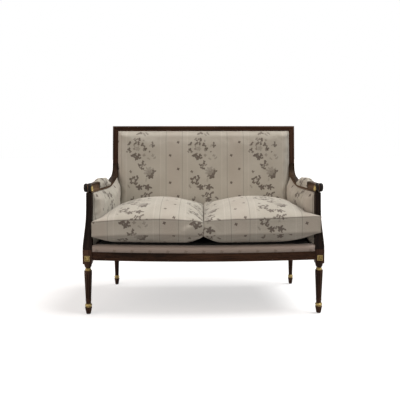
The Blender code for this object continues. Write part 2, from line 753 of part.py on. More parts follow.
def join_to_rear_posts(rail, name, posts, y, thickness, bottom, top):
    """Tenons both ends of a rail that runs across between the rear posts."""
    middle = y + (thickness - TENON_THICKNESS) / 2
    for side_name, side in SIDES:
        low_x, high_x = sorted((side * (POST_INNER_X - OVERRUN), side * (POST_INNER_X + TENON_LENGTH)))
        low = (low_x, middle, bottom + TENON_SHOULDER)
        high = (high_x, middle + TENON_THICKNESS, top - TENON_SHOULDER)
        join_with_tenon(rail, posts[side_name], name + "_" + side_name, low, high)


def make_back_seat_rail(posts):
    reach = POST_INNER_X - CLEARANCE
    low = (-reach, BACK_RAIL_Y, RAIL_BOTTOM)
    high = (reach, BACK_RAIL_Y + BACK_RAIL_THICKNESS, RAIL_TOP)
    rail = box("back_seat_rail", low, high, MAHOGANY)
    join_to_rear_posts(rail, "back_seat_rail", posts, BACK_RAIL_Y, BACK_RAIL_THICKNESS, RAIL_BOTTOM, RAIL_TOP)
    return rail


def make_seat_brace(front_rail, back_rail):
    """The brace under the middle of the seat, let into the front and back rails."""
    half = BRACE_WIDTH / 2
    bottom = RAIL_BOTTOM + BRACE_RISE
    front = rail_rear(0) + CLEARANCE
    back = BACK_RAIL_Y - CLEARANCE
    brace = box("seat_brace", (-half, front, bottom), (half, back, bottom + BRACE_HEIGHT), BEECH)
    half_tenon = half - TENON_SHOULDER
    tenon_low = bottom + TENON_SHOULDER
    tenon_high = bottom + BRACE_HEIGHT - TENON_SHOULDER
    low = (-half_tenon, front - BRACE_TENON, tenon_low)
    join_with_tenon(brace, front_rail, "brace_front", low, (half_tenon, front + OVERRUN, tenon_high))
    low = (-half_tenon, back - OVERRUN, tenon_low)
    join_with_tenon(brace, back_rail, "brace_rear", low, (half_tenon, back + BRACE_TENON, tenon_high))


def add_level_plate(name, outline, bottom, top, material):
    """A flat piece from an (x, y) outline between two heights."""
    bm = flat_outline(name, outline, top - bottom)
    bmesh.ops.translate(bm, verts=bm.verts, vec=(0, 0, (top + bottom) / 2))
    return add_object(name, bm, material)


def make_corner_blocks(side_name, side):
    """Glue blocks in the front and rear corners of the seat frame, cut round the leg and the post."""
    bottom = RAIL_BOTTOM + CORNER_BLOCK_RISE
    top = bottom + CORNER_BLOCK_HEIGHT
    fit = SOFT_CLEARANCE
    corner_x = BLOCK_INNER_X - fit
    outline = []
    for i in range(CORNER_BLOCK_STATIONS + 1):
        x = lerp(corner_x - CORNER_BLOCK_REACH, corner_x, i / CORNER_BLOCK_STATIONS)
        outline.append((x, rail_rear(x) + fit))
    for y in (BLOCK_SIZE + fit, BLOCK_SIZE + CORNER_BLOCK_REACH):
        if y < BLOCK_SIZE + CORNER_BLOCK_REACH:
            outline.append((corner_x, y))
        outline.append((rail_outer(y) - RAIL_THICKNESS - fit, y))
    outline = [(side * x, y) for x, y in outline]
    add_level_plate("corner_block_front_" + side_name, outline, bottom, top, BEECH)

    def rail_inner(y):
        return rail_outer(y) - RAIL_THICKNESS - fit
    near = POST_FRONT_Y - fit
    far = BACK_RAIL_Y - fit
    corner_x = POST_INNER_X - fit
    outline = [(rail_inner(near - CORNER_BLOCK_REACH), near - CORNER_BLOCK_REACH), (rail_inner(near), near)]
    outline += [(corner_x, near), (corner_x, far), (corner_x - CORNER_BLOCK_REACH, far)]
    outline = [(side * x, y) for x, y in outline]
    add_level_plate("corner_block_rear_" + side_name, outline, bottom, top, BEECH)


# Back frame
def make_top_rail(posts):
    """The top rail caps both stiles, and its core hangs between them behind the stuffed back."""
    def cap(u, v, w):
        z = lerp(POST_TOP, OVERALL_HEIGHT, w)
        return lerp(-POST_OUTER_X, POST_OUTER_X, u), stile_face(z) + v * POST_DEPTH, z
    rail = cage("top_rail", ((), (), ()), cap, MAHOGANY)
    round_edges(rail, POST_ROUND)

    def core(u, v, w):
        z = lerp(POST_TOP - TOP_RAIL_CORE, POST_TOP + OVERRUN, w)
        depth = lerp(POST_REBATE, POST_DEPTH - PANEL_THICKNESS - PANEL_SETBACK, v)
        reach = POST_INNER_X - CLEARANCE
        return lerp(-reach, reach, u), stile_face(z) + depth, z
    unite(rail, cage("top_rail_core", ((), (), ()), core, BEECH))
    for side_name, side in SIDES:
        y = stile_face(POST_TOP) + POST_DEPTH / 2
        half = TENON_THICKNESS / 2
        x = side * (POST_OUTER_X - POST_SHOW_WIDTH / 2)
        low = (x - half, y - half, POST_TOP - OVERRUN)
        high = (x + half, y + half, POST_TOP + TENON_LENGTH)
        join_with_tenon(posts[side_name], rail, "stile_top_" + side_name, low, high)


def make_lower_back_rail(posts):
    top = LOWER_BACK_RAIL_BOTTOM + LOWER_BACK_RAIL_HEIGHT
    reach = POST_INNER_X - CLEARANCE
    thickness = POST_DEPTH - PANEL_THICKNESS - PANEL_SETBACK - POST_REBATE

    def place(u, v, w):
        z = lerp(LOWER_BACK_RAIL_BOTTOM, top, w)
        return lerp(-reach, reach, u), stile_face(z) + POST_REBATE + v * thickness, z
    rail = cage("lower_back_rail", ((), (), ()), place, BEECH)
    y = stile_face((LOWER_BACK_RAIL_BOTTOM + top) / 2) + POST_REBATE
    join_to_rear_posts(rail, "lower_back_rail", posts, y, thickness, LOWER_BACK_RAIL_BOTTOM, top)


# Arms
def arm_outline():
    """The side view of the arm in (y, z): front volute, underside, sweep up the stile, top."""
    start = math.asin((ARM_UNDERSIDE + ARM_FRONT_THICKNESS - VOLUTE_CENTRE_Z) / VOLUTE_RADIUS)
    end = math.radians(270)
    outline = []
    for i in range(VOLUTE_STATIONS + 1):
        turn = lerp(start, end, i / VOLUTE_STATIONS)
        y = VOLUTE_CENTRE_Y + VOLUTE_RADIUS * math.cos(turn)
        outline.append((y, VOLUTE_CENTRE_Z + VOLUTE_RADIUS * math.sin(turn)))
    for i in range(1, ARM_STATIONS):
        y = lerp(VOLUTE_CENTRE_Y, ARM_END_Y, i / ARM_STATIONS)
        outline.append((y, arm_under(y)))
    last = arm_under(ARM_END_Y)
    outline.append((stile_face(last) - CLEARANCE, last))
    sweep_start = ARM_END_Y - ARM_SWEEP_DEPTH
    for i in range(SWEEP_STATIONS + 1):
        turn = math.radians(90) * (1 - i / SWEEP_STATIONS)
        z = arm_top(sweep_start) + ARM_SWEEP_HEIGHT * (1 - math.cos(turn))
        outline.append((stile_face(z) - CLEARANCE - ARM_SWEEP_DEPTH * (1 - math.sin(turn)), z))
    volute_end = VOLUTE_CENTRE_Y + VOLUTE_RADIUS * math.cos(start)
    for i in range(1, ARM_STATIONS):
        y = lerp(sweep_start, volute_end, i / ARM_STATIONS)
        outline.append((y, arm_top(y)))
    return outline


def make_arm_rail(side_name, side, post):
    bm = flat_outline("arm_rail_" + side_name, arm_outline(), ARM_WIDTH)
    for vert in bm.verts:
        y, z, offset = vert.co
        vert.co = (side * (arm_centre(y) + offset), y, z)
    rail = add_object("arm_rail_" + side_name, bm, MAHOGANY)
    round_edges(rail, ARM_ROUND, 1)
    x = side * arm_centre(ARM_END_Y)
    bottom = arm_under(ARM_END_Y) + ARM_TENON_RISE
    face = stile_face(bottom)
    low = (x - TENON_THICKNESS / 2, face - OVERRUN, bottom)
    high = (x + TENON_THICKNESS / 2, face + TENON_LENGTH, bottom + ARM_TENON_HEIGHT)
    join_with_tenon(rail, post, "arm_" + side_name, low, high)
    return rail


def make_arm_post(side_name, side, arm_rail):
    """The arm post sweeps back and slims from the leg block up to the arm, doweled into both."""
    def place(u, v, w):
        slim = lerp(BLOCK_SIZE, ARM_POST_TOP_WIDTH, smoothstep(w / ARM_POST_SLIMMING_SHARE))
        x = lerp(FRONT_LEG_X, ARM_FRONT_X, w) + lerp(-slim, slim, u) / 2
        y = lerp(arm_post_front(w), arm_post_rear(w), v)
        return side * x, y, lerp(BLOCK_TOP + CLEARANCE, arm_under(y) - CLEARANCE, w)
    post = cage("arm_post_" + side_name, ((), (), even_cuts(ARM_POST_STATIONS)), place, MAHOGANY)
    round_edges(post, ARM_POST_ROUND)
    foot = at(FRONT_LEG_X * side, FRONT_LEG_Y, BLOCK_TOP)
    head = at(ARM_FRONT_X * side, ARM_POST_TOP_Y, arm_under(ARM_POST_TOP_Y))
    unite(post, rod("foot_dowel_" + side_name, DOWEL_RADIUS, 2 * DOWEL_LENGTH, foot))
    unite(post, rod("head_dowel_" + side_name, DOWEL_RADIUS, 2 * DOWEL_LENGTH, head))
    hole_length = 2 * (DOWEL_LENGTH + CLEARANCE)
    cut(arm_rail, rod("head_dowel_hole_" + side_name, DOWEL_RADIUS + CLEARANCE, hole_length, head))


def make_arm_mounts(side_name, side, arm_rail):
    """The turned boss outside the volute, and the gilt rosette inside it, set a little lower."""
    y = VOLUTE_CENTRE_Y
    rosette_z = VOLUTE_CENTRE_Z - ROSETTE_DROP
    outer = arm_centre(y) + ARM_WIDTH / 2 + VOLUTE_RADIUS * ARM_TAPER + CLEARANCE
    inner = arm_inner(y) - VOLUTE_RADIUS * ARM_TAPER - CLEARANCE
    for name, x, z, facing, radius, height, material in (
            ("scroll_boss", outer, VOLUTE_CENTRE_Z, side, BOSS_RADIUS, BOSS_HEIGHT, MAHOGANY),
            ("arm_rosette", inner, rosette_z, -side, ROSETTE_RADIUS, ROSETTE_HEIGHT, GILT)):
        shank = PIN_LENGTH + VOLUTE_RADIUS * ARM_TAPER
        profile = [(0, height), (radius / 3, height), (radius / 2, height / 2)]
        profile += [(radius * 2 / 3, height * 2 / 3), (radius, height / 3), (radius, 0)]
        profile += [(PIN_RADIUS, 0), (PIN_RADIUS, -shank), (0, -shank)]
        spot = facing_out(side * x, y, z, facing)
        turned(name + "_" + side_name, profile, material, RING_STEPS, spot)
        hole_length = 2 * (shank + CLEARANCE)
        cut(arm_rail, rod(name + "_hole_" + side_name, PIN_RADIUS + CLEARANCE, hole_length, spot))


def make_block_rosette(side_name, side):
    """The square gilt rosette nailed to the front of the leg block."""
    half = BLOCK_ROSETTE_SIZE / 2
    x = FRONT_LEG_X * side
    rise = BLOCK_ROSETTE_HEIGHT

    def place(u, v, w):
        spread = max(abs(2 * u - 1), abs(2 * w - 1))
        thickness = rise * (1 - spread / 2)
        y = lerp(-thickness, 0, v) - CLEARANCE
        return x + lerp(-half, half, u), y, BLOCK_ROSETTE_CENTRE + lerp(-half, half, w)
    rosette = cage("block_rosette_" + side_name, (even_cuts(4), (), even_cuts(4)), place, GILT)
    pin = facing_front(x, (PIN_LENGTH - rise / 2) / 2, BLOCK_ROSETTE_CENTRE)
    unite(rosette, rod("rosette_pin_" + side_name, PIN_RADIUS, PIN_LENGTH + rise / 2, pin))


# Stuffed pads, panels, webs and covers
def make_arm_pad(side_name, side):
    """The pad over the arm. u runs up one side, over and down the other, and w goes from wood to cloth."""
    shoulder = ARM_PAD_SHOULDER_SHARE
    half = ARM_WIDTH / 2 + SOFT_CLEARANCE

    def over_arm(u, drape):
        """A point of the arm's section, across and up from its top, and how far round it that is."""
        if u < shoulder:
            return -half, -drape * (1 - u / shoulder), 0.0
        if u > 1 - shoulder:
            return half, -drape * (1 - (1 - u) / shoulder), 1.0
        across = (u - shoulder) / (1 - 2 * shoulder)
        return lerp(-half, half, across), 0.0, across

    def place(u, v, w):
        y = ARM_PAD_START + v * ARM_PAD_LENGTH
        fullness = swell(edge_distance(v, ARM_PAD_LENGTH), ARM_PAD_END_SPAN)
        across, up, around = over_arm(u, arm_top(y) - arm_under(y) - ARM_PAD_REVEAL)
        side_swell = lerp(ARM_PAD_EDGE, ARM_PAD_SIDE, fullness) * swell(edge_distance(u, 1), shoulder)
        levelling = ARM_PAD_LEVELLING_SHARE * (arm_top(ARM_PAD_START) - arm_top(y))
        crown = ARM_PAD_EDGE + (ARM_PAD_CROWN + levelling) * fullness * math.sin(math.pi * around)
        across += w * (side_swell + ARM_PAD_EDGE / 2) * (2 * around - 1)
        up += w * crown + SOFT_CLEARANCE
        return side * (arm_centre(y) + across), y, arm_top(y) + up
    round_shares = [shoulder * share for share in (1 / 3, 2 / 3)]
    top_shares = [lerp(shoulder, 1 - shoulder, share) for share in even_cuts(6)]
    around_shares = round_shares + [shoulder] + top_shares + [1 - shoulder] + [1 - s for s in round_shares]
    cage("arm_pad_" + side_name, (around_shares, even_cuts(ARM_PAD_STATIONS), ()), place, FABRIC)


def arm_opening(v, w):
    """A point of the opening between arm post, arm, rear post and side rail, as (y, z)."""
    z = lerp(DECK_BOTTOM, ARM_UNDERSIDE - ARM_FALL / 2, w)
    share = arm_post_share(z)
    y = lerp(arm_post_rear(share) + ARM_PANEL_FIT, stile_face(z) - ARM_PANEL_FIT, v)
    return y, lerp(DECK_BOTTOM, arm_under(y) - ARM_PANEL_FIT, w)


def make_arm_panels(side_name, side):
    """The stuffed inner panel, the flat outer panel and the tack rail between them."""
    length = ARM_END_Y - ARM_POST_TOP_Y
    height = ARM_UNDERSIDE - DECK_BOTTOM

    def inner_pad(u, v, w):
        y, z = arm_opening(v, w)
        along = swell(edge_distance(v, length), ARM_PANEL_SPAN)
        fullness = along * swell(edge_distance(w, height), ARM_PANEL_SPAN)
        face = arm_inner(y) + PAD_EDGE - ARM_PANEL_BULGE * fullness
        return side * lerp(face, arm_inner(y) + PAD_RECESS, u), y, z
    cuts = ((), even_cuts(ARM_PANEL_CELLS_LONG), even_cuts(ARM_PANEL_CELLS_HIGH))
    cage("arm_inner_pad_" + side_name, cuts, inner_pad, FABRIC)

    rim = [(0, share) for share in reversed(even_cuts(ARM_PANEL_CELLS_HIGH))] + [(0, 0), (1, 0), (1, 1)]
    rim += [(share, 1) for share in reversed(even_cuts(ARM_PANEL_CELLS_LONG))] + [(0, 1)]
    outline = [arm_opening(v, w) for v, w in rim]
    outline = [(y, z if z > DECK_BOTTOM else RAIL_TOP + CLEARANCE) for y, z in outline]
    bm = flat_outline("arm_outer_panel_" + side_name, outline, PANEL_THICKNESS)
    for vert in bm.verts:
        y, z, offset = vert.co
        outer = arm_inner(y) + ARM_WIDTH - PANEL_SETBACK
        vert.co = (side * (outer - PANEL_THICKNESS / 2 + offset), y, z)
    add_object("arm_outer_panel_" + side_name, bm, FABRIC)

    def tack_rail(u, v, w):
        z = DECK_BOTTOM + w * TACK_RAIL_HEIGHT
        front = arm_post_rear(arm_post_share(DECK_BOTTOM + TACK_RAIL_HEIGHT)) + SOFT_CLEARANCE
        y = lerp(front, POST_FRONT_Y - SOFT_CLEARANCE, v)
        inner = arm_inner(y) + PAD_RECESS + CLEARANCE
        return side * (inner + u * TACK_RAIL_THICKNESS), y, z
    cage("arm_tack_rail_" + side_name, ((), (), ()), tack_rail, BEECH)


def make_back_pad():
    half = POST_OUTER_X - POST_SHOW_WIDTH - SOFT_CLEARANCE
    top = POST_TOP - SOFT_CLEARANCE
    height = top - BACK_PAD_BOTTOM

    def place(u, v, w):
        z = lerp(BACK_PAD_BOTTOM, top, w)
        fullness = swell(edge_distance(u, 2 * half), BACK_SPAN) * swell(edge_distance(w, height), BACK_SPAN)
        face = stile_face(z) + PAD_EDGE - BACK_BULGE * fullness
        return lerp(-half, half, u), lerp(face, stile_face(z) + PAD_RECESS, v), z
    border_shares = [BACK_SPAN / (2 * half) * share for share in (1 / 3, 2 / 3, 1)]
    rows = [BACK_SPAN / height * share for share in (1 / 2, 1)]
    rows += [1 - BACK_SPAN / height * share for share in (1 / 3, 2 / 3, 1)] + even_cuts(3)
    columns = border_shares + [1 - share for share in border_shares] + even_cuts(4)
    cage("back_pad", (columns, (), rows), place, FABRIC)


def make_outer_back_panel():
    reach = POST_INNER_X - SOFT_CLEARANCE
    bottom = RAIL_TOP + CLEARANCE
    top = POST_TOP - SOFT_CLEARANCE

    def place(u, v, w):
        z = lerp(bottom, top, w)
        depth = POST_DEPTH - PANEL_SETBACK - PANEL_THICKNESS * (1 - v) + CLEARANCE
        return lerp(-reach, reach, u), stile_face(z) + depth, z
    knee_share = (LEAN_START - bottom) / (top - bottom)
    cage("outer_back_panel", ((), (), (knee_share,)), place, FABRIC)


def web_shares(count, length):
    """The edges of evenly spread webs, as (start, end) shares of the length that they cover."""
    width_share = WEB_WIDTH / length
    step = (1 - width_share) / (count - 1)
    return [(i * step, i * step + width_share) for i in range(count)]


def make_webbing(name, across, along, lengths, place):
    """Webs woven both ways, as one open grid with a thickness, which place(u, v) puts on the frame."""
    bm = bmesh.new()
    centred = Matrix.Translation((1 / 2, 1 / 2, 0))
    bmesh.ops.create_grid(bm, x_segments=1, y_segments=1, size=1 / 2, matrix=centred)
    columns = web_shares(across, lengths[0])
    rows = web_shares(along, lengths[1])
    split_along(bm, 0, [edge for web in columns for edge in web][1:-1])
    split_along(bm, 1, [edge for web in rows for edge in web][1:-1])

    def in_web(value, webs):
        return any(start < value < end for start, end in webs)
    holes = []
    for face in bm.faces:
        middle = face.calc_center_median()
        if not in_web(middle.x, columns) and not in_web(middle.y, rows):
            holes.append(face)
    bmesh.ops.delete(bm, geom=holes, context="FACES")
    for vert in bm.verts:
        vert.co = place(vert.co.x, vert.co.y)
    obj = add_object(name, bm, JUTE)
    solidify = obj.modifiers.new("thickness", "SOLIDIFY")
    solidify.thickness = WEB_THICKNESS
    solidify.offset = 0


def make_seat_webbing():
    lap = PANEL_SETBACK + PANEL_THICKNESS + CLEARANCE
    middle = RAIL_TOP + CLEARANCE + WEB_THICKNESS / 2

    def place(u, v):
        back = BACK_RAIL_Y + WEB_LAP
        rough_x = lerp(-BLOCK_INNER_X, BLOCK_INNER_X, u)
        y = lerp(rail_front(rough_x) + RAIL_THICKNESS - WEB_LAP, back, v)
        corner = BLOCK_INNER_X - SOFT_CLEARANCE
        reach = min(corner, arm_inner(y) + ARM_WIDTH - lap - SOFT_CLEARANCE)
        if y > POST_FRONT_Y - WEB_WIDTH:
            reach = POST_INNER_X - SOFT_CLEARANCE
        return lerp(-reach, reach, u), y, middle
    lengths = (2 * BLOCK_INNER_X, BACK_RAIL_Y + FRONT_BOW)
    make_webbing("seat_webbing", SEAT_WEBS_ACROSS, SEAT_WEBS_DEEP, lengths, place)


def make_back_webbing():
    half = POST_OUTER_X - POST_SHOW_WIDTH - SOFT_CLEARANCE
    bottom = LOWER_BACK_RAIL_BOTTOM + WEB_LAP
    top = POST_TOP - WEB_LAP

    def place(u, v):
        z = lerp(bottom, top, v)
        return lerp(-half, half, u), stile_face(z) + PAD_RECESS + CLEARANCE + WEB_THICKNESS / 2, z
    lengths = (2 * half, top - bottom)
    make_webbing("back_webbing", BACK_WEBS_ACROSS, BACK_WEBS_UP, lengths, place)


def make_front_border():
    """The stuffed border on the front rail, under the cushions, in (depth, height) along the bow."""
    front = -BORDER_PROUD
    foot = RAIL_SHOW_TOP + CLEARANCE
    inside = RAIL_REBATE - CLEARANCE
    section = [(inside, foot), (front + BORDER_SOFTNESS / 2, foot), (front, foot + BORDER_SOFTNESS)]
    section += [(front, BORDER_FRONT_TOP - BORDER_SOFTNESS)]
    for i in range(5):
        turn = math.radians(90) * i / 4
        depth = front + (BORDER_ROUND - front) * (1 - math.cos(turn))
        section.append((depth, lerp(BORDER_FRONT_TOP, DECK_TOP, math.sin(turn))))
    section += [(BORDER_DEPTH, DECK_TOP), (BORDER_DEPTH, DECK_BOTTOM), (inside, DECK_BOTTOM)]
    reach = BLOCK_INNER_X - SOFT_CLEARANCE

    def place(depth, z, w):
        x = lerp(-reach, reach, w)
        return x, rail_front(x) + depth, z
    prism("front_border", section, even_cuts(BOW_STATIONS), place, FABRIC)


def make_seat_deck():
    """The stuffed platform that the loose cushions lie on."""
    back = back_face(RAIL_TOP) - SOFT_CLEARANCE
    length = back + FRONT_BOW

    def place(u, v, w):
        rough_x = lerp(-BLOCK_INNER_X, BLOCK_INNER_X, u)
        y = lerp(rail_front(rough_x) + BORDER_DEPTH + SOFT_CLEARANCE, back, v)
        reach = arm_panel_face(y) - SOFT_CLEARANCE
        edge = min(edge_distance(u, 2 * reach), edge_distance(v, length) if v > 1 / 2 else length)
        top = DECK_TOP - DECK_ROUND * (1 - swell(edge, DECK_ROUND))
        return lerp(-reach, reach, u), y, lerp(DECK_BOTTOM, top, w)
    near_shares = [DECK_ROUND / (2 * BLOCK_INNER_X) * share for share in (1 / 2, 1)]
    columns = even_cuts(BOW_STATIONS) + near_shares + [1 - share for share in near_shares]
    rows = even_cuts(3) + [1 - DECK_ROUND / length * share for share in (1 / 2, 1)]
    cage("seat_deck", (columns, rows, ()), place, FABRIC)


def make_dust_cover():
    """The black cloth tacked under the seat rails, cut round the legs."""
    top = RAIL_BOTTOM - CLEARANCE
    fit = SOFT_CLEARANCE
    edge = BLOCK_INNER_X - fit
    outline = []
    for i in range(BOW_STATIONS + 1):
        x = lerp(-edge, edge, i / BOW_STATIONS)
        outline.append((x, rail_front(x) + DUST_COVER_LAP))
    near = BLOCK_SIZE + fit
    far = POST_FRONT_Y - fit
    back = BACK_RAIL_Y + DUST_COVER_LAP
    inner = POST_INNER_X - fit
    right = [(edge, near), (rail_outer(near) - DUST_COVER_LAP, near), (rail_outer(far) - DUST_COVER_LAP, far)]
    right += [(inner, far), (inner, back)]
    outline += right + [(-x, y) for x, y in reversed(right)]
    add_level_plate("dust_cover", outline, top - DUST_COVER_THICKNESS, top, CAMBRIC)


# Loose cushions
CUSHION_BACK = back_face(CUSHION_LOW_SEAM) - CUSHION_BACK_EASE
CUSHION_EARS = {-1: CUSHION_EAR_LEFT, 1: CUSHION_EAR_RIGHT}
CUSHION_OUTER_LIFTS = {-1: 0, 1: CUSHION_RIGHT_LIFT}
CUSHION_INNER_DROPS = {-1: CUSHION_LEFT_DROP, 1: 0}
CUSHION_OUTER_BELLY_SPANS = {-1: CUSHION_BELLY_SPAN, 1: CUSHION_BELLY_RIGHT_SPAN}


def cushion_outer(side, y):
    """How far from the middle the cushion's outer side is. It spreads in front of the arm post."""
    ear = 1 - smoothstep((y - CUSHION_EAR_START) / (CUSHION_EAR_END - CUSHION_EAR_START))
    return arm_panel_face(y) - CUSHION_SIDE_EASE + CUSHION_EARS[side] * ear


def cushion_point(side, u, v, w):
    """A point of the cushion: u from the middle of the settee outwards, v to the back, w from low to top."""
    rough_x = lerp(CUSHION_GAP / 2, cushion_outer(side, 0), u)
    y = lerp(rail_front(rough_x) - CUSHION_PROUD, CUSHION_BACK, v)
    outer = cushion_outer(side, y)
    x = lerp(CUSHION_GAP / 2, outer, u)
    peak = CUSHION_SEAM_PEAK_SHARE
    lift = 1 - ((u - peak) / (1 - peak)) ** 2
    start = CUSHION_RIGHT_LIFT_START_SHARE
    outer_lift = CUSHION_OUTER_LIFTS[side] * max(0.0, (u - start) / (1 - start)) ** 2
    inner_drop = CUSHION_INNER_DROPS[side] * (1 - swell(u * outer, CUSHION_LEFT_DROP_SPAN))
    low = CUSHION_LOW_SEAM + CUSHION_LOW_SEAM_LIFT * lift + CUSHION_LOW_LIFT_SHARE * outer_lift
    high = CUSHION_TOP_SEAM + CUSHION_TOP_SEAM_LIFT * lift + outer_lift - inner_drop
    across = edge_distance(u, outer)
    deep = edge_distance(v, CUSHION_BACK + FRONT_REACH)
    z = lerp(low, high, w)
    if w <= 0:
        inner_belly = swell(u * outer, CUSHION_BELLY_SPAN)
        outer_belly = swell((1 - u) * outer, CUSHION_OUTER_BELLY_SPANS[side])
        belly = (inner_belly * outer_belly) ** CUSHION_FULLNESS_SHARE
        belly *= math.sqrt(swell(deep, CUSHION_BELLY_FRONT_SPAN))
        depth = v * (CUSHION_BACK + FRONT_REACH)
        front_rise = CUSHION_FRONT_RISE * (1 - swell(depth, CUSHION_FRONT_RISE_SPAN))
        z = lerp(low, DECK_TOP + CLEARANCE + front_rise, belly)
    elif w >= 1:
        dome = swell(across, CUSHION_CROWN_SPAN) * swell(deep, CUSHION_CROWN_SPAN)
        z += CUSHION_CROWN * dome ** CUSHION_FULLNESS_SHARE
    drawn_in = CUSHION_DRAWN_IN * swell(edge_distance(w, 1), CUSHION_BOXING_SHARES[1])
    if u <= 0:
        x += drawn_in
    elif u >= 1:
        x -= drawn_in
    if v <= 0:
        y += drawn_in
    elif v >= 1:
        y -= drawn_in
    return side * x, y, z


def make_cushion(side_name, side):
    """A loose boxed cushion and the zip in the back of its boxing, on their own origin for the lift."""
    middle = (side * cushion_outer(side, CUSHION_BACK / 2) / 2, CUSHION_BACK / 2, CUSHION_LOW_SEAM)
    origin = make_origin("cushion_lift_" + side_name, middle, ORIGIN)

    def place(u, v, w):
        return cushion_point(side, u, v, w)
    deep_cuts = [*CUSHION_FRONT_CELL_SHARES, *even_cuts(CUSHION_CELLS_DEEP)]
    cuts = (even_cuts(CUSHION_CELLS_ACROSS), deep_cuts, CUSHION_BOXING_SHARES)
    cushion = cage("seat_cushion_" + side_name, cuts, place, FABRIC)
    width = (CUSHION_TOP_SEAM - CUSHION_LOW_SEAM) * ZIP_WIDTH_SHARE

    def zip_place(u, v, w):
        x, y, z = cushion_point(side, lerp(1 - ZIP_LENGTH_SHARE, ZIP_LENGTH_SHARE, u), 1, 1 / 2)
        return x, y + CLEARANCE + v * ZIP_THICKNESS, z + lerp(-width, width, w) / 2
    tape = cage("cushion_zip_" + side_name, (even_cuts(CUSHION_CELLS_ACROSS), (), ()), zip_place, ZIP_TAPE)
    for obj in (cushion, tape):
        obj.parent = origin
        obj.location = -Vector(middle)


def main():
    legs = {}
    posts = {}
    for side_name, side in SIDES:
        legs[side_name] = make_front_leg(side_name, side)
        posts[side_name] = make_rear_post(side_name, side)
        make_collar(side_name, side)
        make_foot("front_" + side_name, FRONT_LEG_X * side, FRONT_LEG_Y, 1)
        make_foot("rear_" + side_name, REAR_LEG_X * side, REAR_LEG_Y, REAR_LEG_SLIMNESS_SHARE)
        make_side_rail(side_name, side, legs[side_name], posts[side_name])
        arm_rail = make_arm_rail(side_name, side, posts[side_name])
        make_arm_post(side_name, side, arm_rail)
        make_arm_mounts(side_name, side, arm_rail)
        make_block_rosette(side_name, side)
        make_arm_pad(side_name, side)
        make_arm_panels(side_name, side)
        make_corner_blocks(side_name, side)
        make_cushion(side_name, side)
    front_rail = make_front_rail(legs)
    back_seat_rail = make_back_seat_rail(posts)
    make_seat_brace(front_rail, back_seat_rail)
    make_top_rail(posts)
    make_lower_back_rail(posts)
    make_back_pad()
    make_outer_back_panel()
    make_seat_webbing()
    make_back_webbing()
    make_front_border()
    make_seat_deck()
    make_dust_cover()


main()
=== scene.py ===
"""The looks of a two-seater settee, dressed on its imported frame.

Lengths are metres. While a piece is made, y = 0 is the front face of the front leg blocks and the sizes
are those of the right-hand side of the picture, which the other side mirrors.
"""

import math

import bmesh
import bpy
import numpy as np
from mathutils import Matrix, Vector


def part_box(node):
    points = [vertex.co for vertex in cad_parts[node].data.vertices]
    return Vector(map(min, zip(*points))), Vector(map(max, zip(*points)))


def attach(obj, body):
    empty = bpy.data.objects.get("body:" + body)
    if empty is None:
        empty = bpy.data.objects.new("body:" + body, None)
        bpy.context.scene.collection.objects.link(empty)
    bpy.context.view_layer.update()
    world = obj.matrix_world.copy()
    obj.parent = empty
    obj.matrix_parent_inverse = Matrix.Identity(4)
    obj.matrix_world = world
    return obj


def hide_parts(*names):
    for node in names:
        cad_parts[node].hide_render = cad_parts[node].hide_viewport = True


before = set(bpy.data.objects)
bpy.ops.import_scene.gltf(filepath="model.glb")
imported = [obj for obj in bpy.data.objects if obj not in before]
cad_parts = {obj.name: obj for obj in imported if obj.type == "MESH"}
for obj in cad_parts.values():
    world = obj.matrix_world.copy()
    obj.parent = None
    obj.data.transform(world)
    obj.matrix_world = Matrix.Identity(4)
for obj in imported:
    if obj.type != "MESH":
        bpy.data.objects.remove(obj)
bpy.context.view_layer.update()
SIDES = (("left", -1), ("right", 1))

# Places read from the frame
BLOCK_LOW, BLOCK_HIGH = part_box("front_leg_right")
POST_LOW, POST_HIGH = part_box("rear_post_right")
RAIL_LOW, RAIL_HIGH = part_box("front_rail")
DECK_LOW, DECK_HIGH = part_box("seat_deck")
FRONT_Y = BLOCK_LOW.y
BLOCK_SIZE = BLOCK_HIGH.x - BLOCK_LOW.x
BLOCK_TOP = BLOCK_HIGH.z
LEG_X = (BLOCK_LOW.x + BLOCK_HIGH.x) / 2
LEG_Y = BLOCK_SIZE / 2
POST_OUTER_X = POST_HIGH.x
POST_FRONT_Y = POST_LOW.y - FRONT_Y
RAIL_BOTTOM = RAIL_LOW.z
RAIL_TOP = RAIL_HIGH.z
OVERALL_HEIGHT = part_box("top_rail")[1].z
DECK_BOTTOM = DECK_LOW.z
DECK_TOP = DECK_HIGH.z
BLOCK_INNER_X = BLOCK_LOW.x
BLOCK_OUTER_X = BLOCK_HIGH.x

# Sizes of the frame that its curves follow
CLEARANCE = 0.0003
BLOCK_BOTTOM = 0.274
LEAN_START = 0.366
LEAN = math.tan(math.radians(6.2))
POST_WIDTH = 0.046
POST_DEPTH = 0.034
POST_SHOW_WIDTH = 0.032
POST_REBATE = 0.0126
POST_TOP = 0.949
RAIL_SHOW_TOP = 0.339
RAIL_THICKNESS = 0.028
RAIL_SETBACK = 0.003
RAIL_REBATE = 0.007
FRONT_BOW = 0.040
ARM_WIDTH = 0.033
ARM_UNDERSIDE = 0.646
ARM_FALL = 0.028
ARM_KICK = 0.057
ARM_KICK_START_SHARE = 0.6
ARM_FRONT_THICKNESS = 0.048
ARM_REAR_THICKNESS = 0.023
ARM_THINNING_START_SHARE = 0.25
ARM_THINNING_END_SHARE = 0.75
ARM_SWEEP_DEPTH = 0.060
ARM_SWEEP_HEIGHT = 0.074
VOLUTE_RADIUS = 0.0235
VOLUTE_CENTRE_Y = 0.050
VOLUTE_CENTRE_Z = 0.6745
ARM_POST_RECESS = 0.053
ARM_POST_FOOT_SHARE = 0.05
ARM_POST_SWEEP_SHARE = 0.75
ARM_POST_SLIMMING_SHARE = 0.6
ARM_POST_TOP_WIDTH = 0.032
ARM_POST_TOP_DEPTH = 0.034
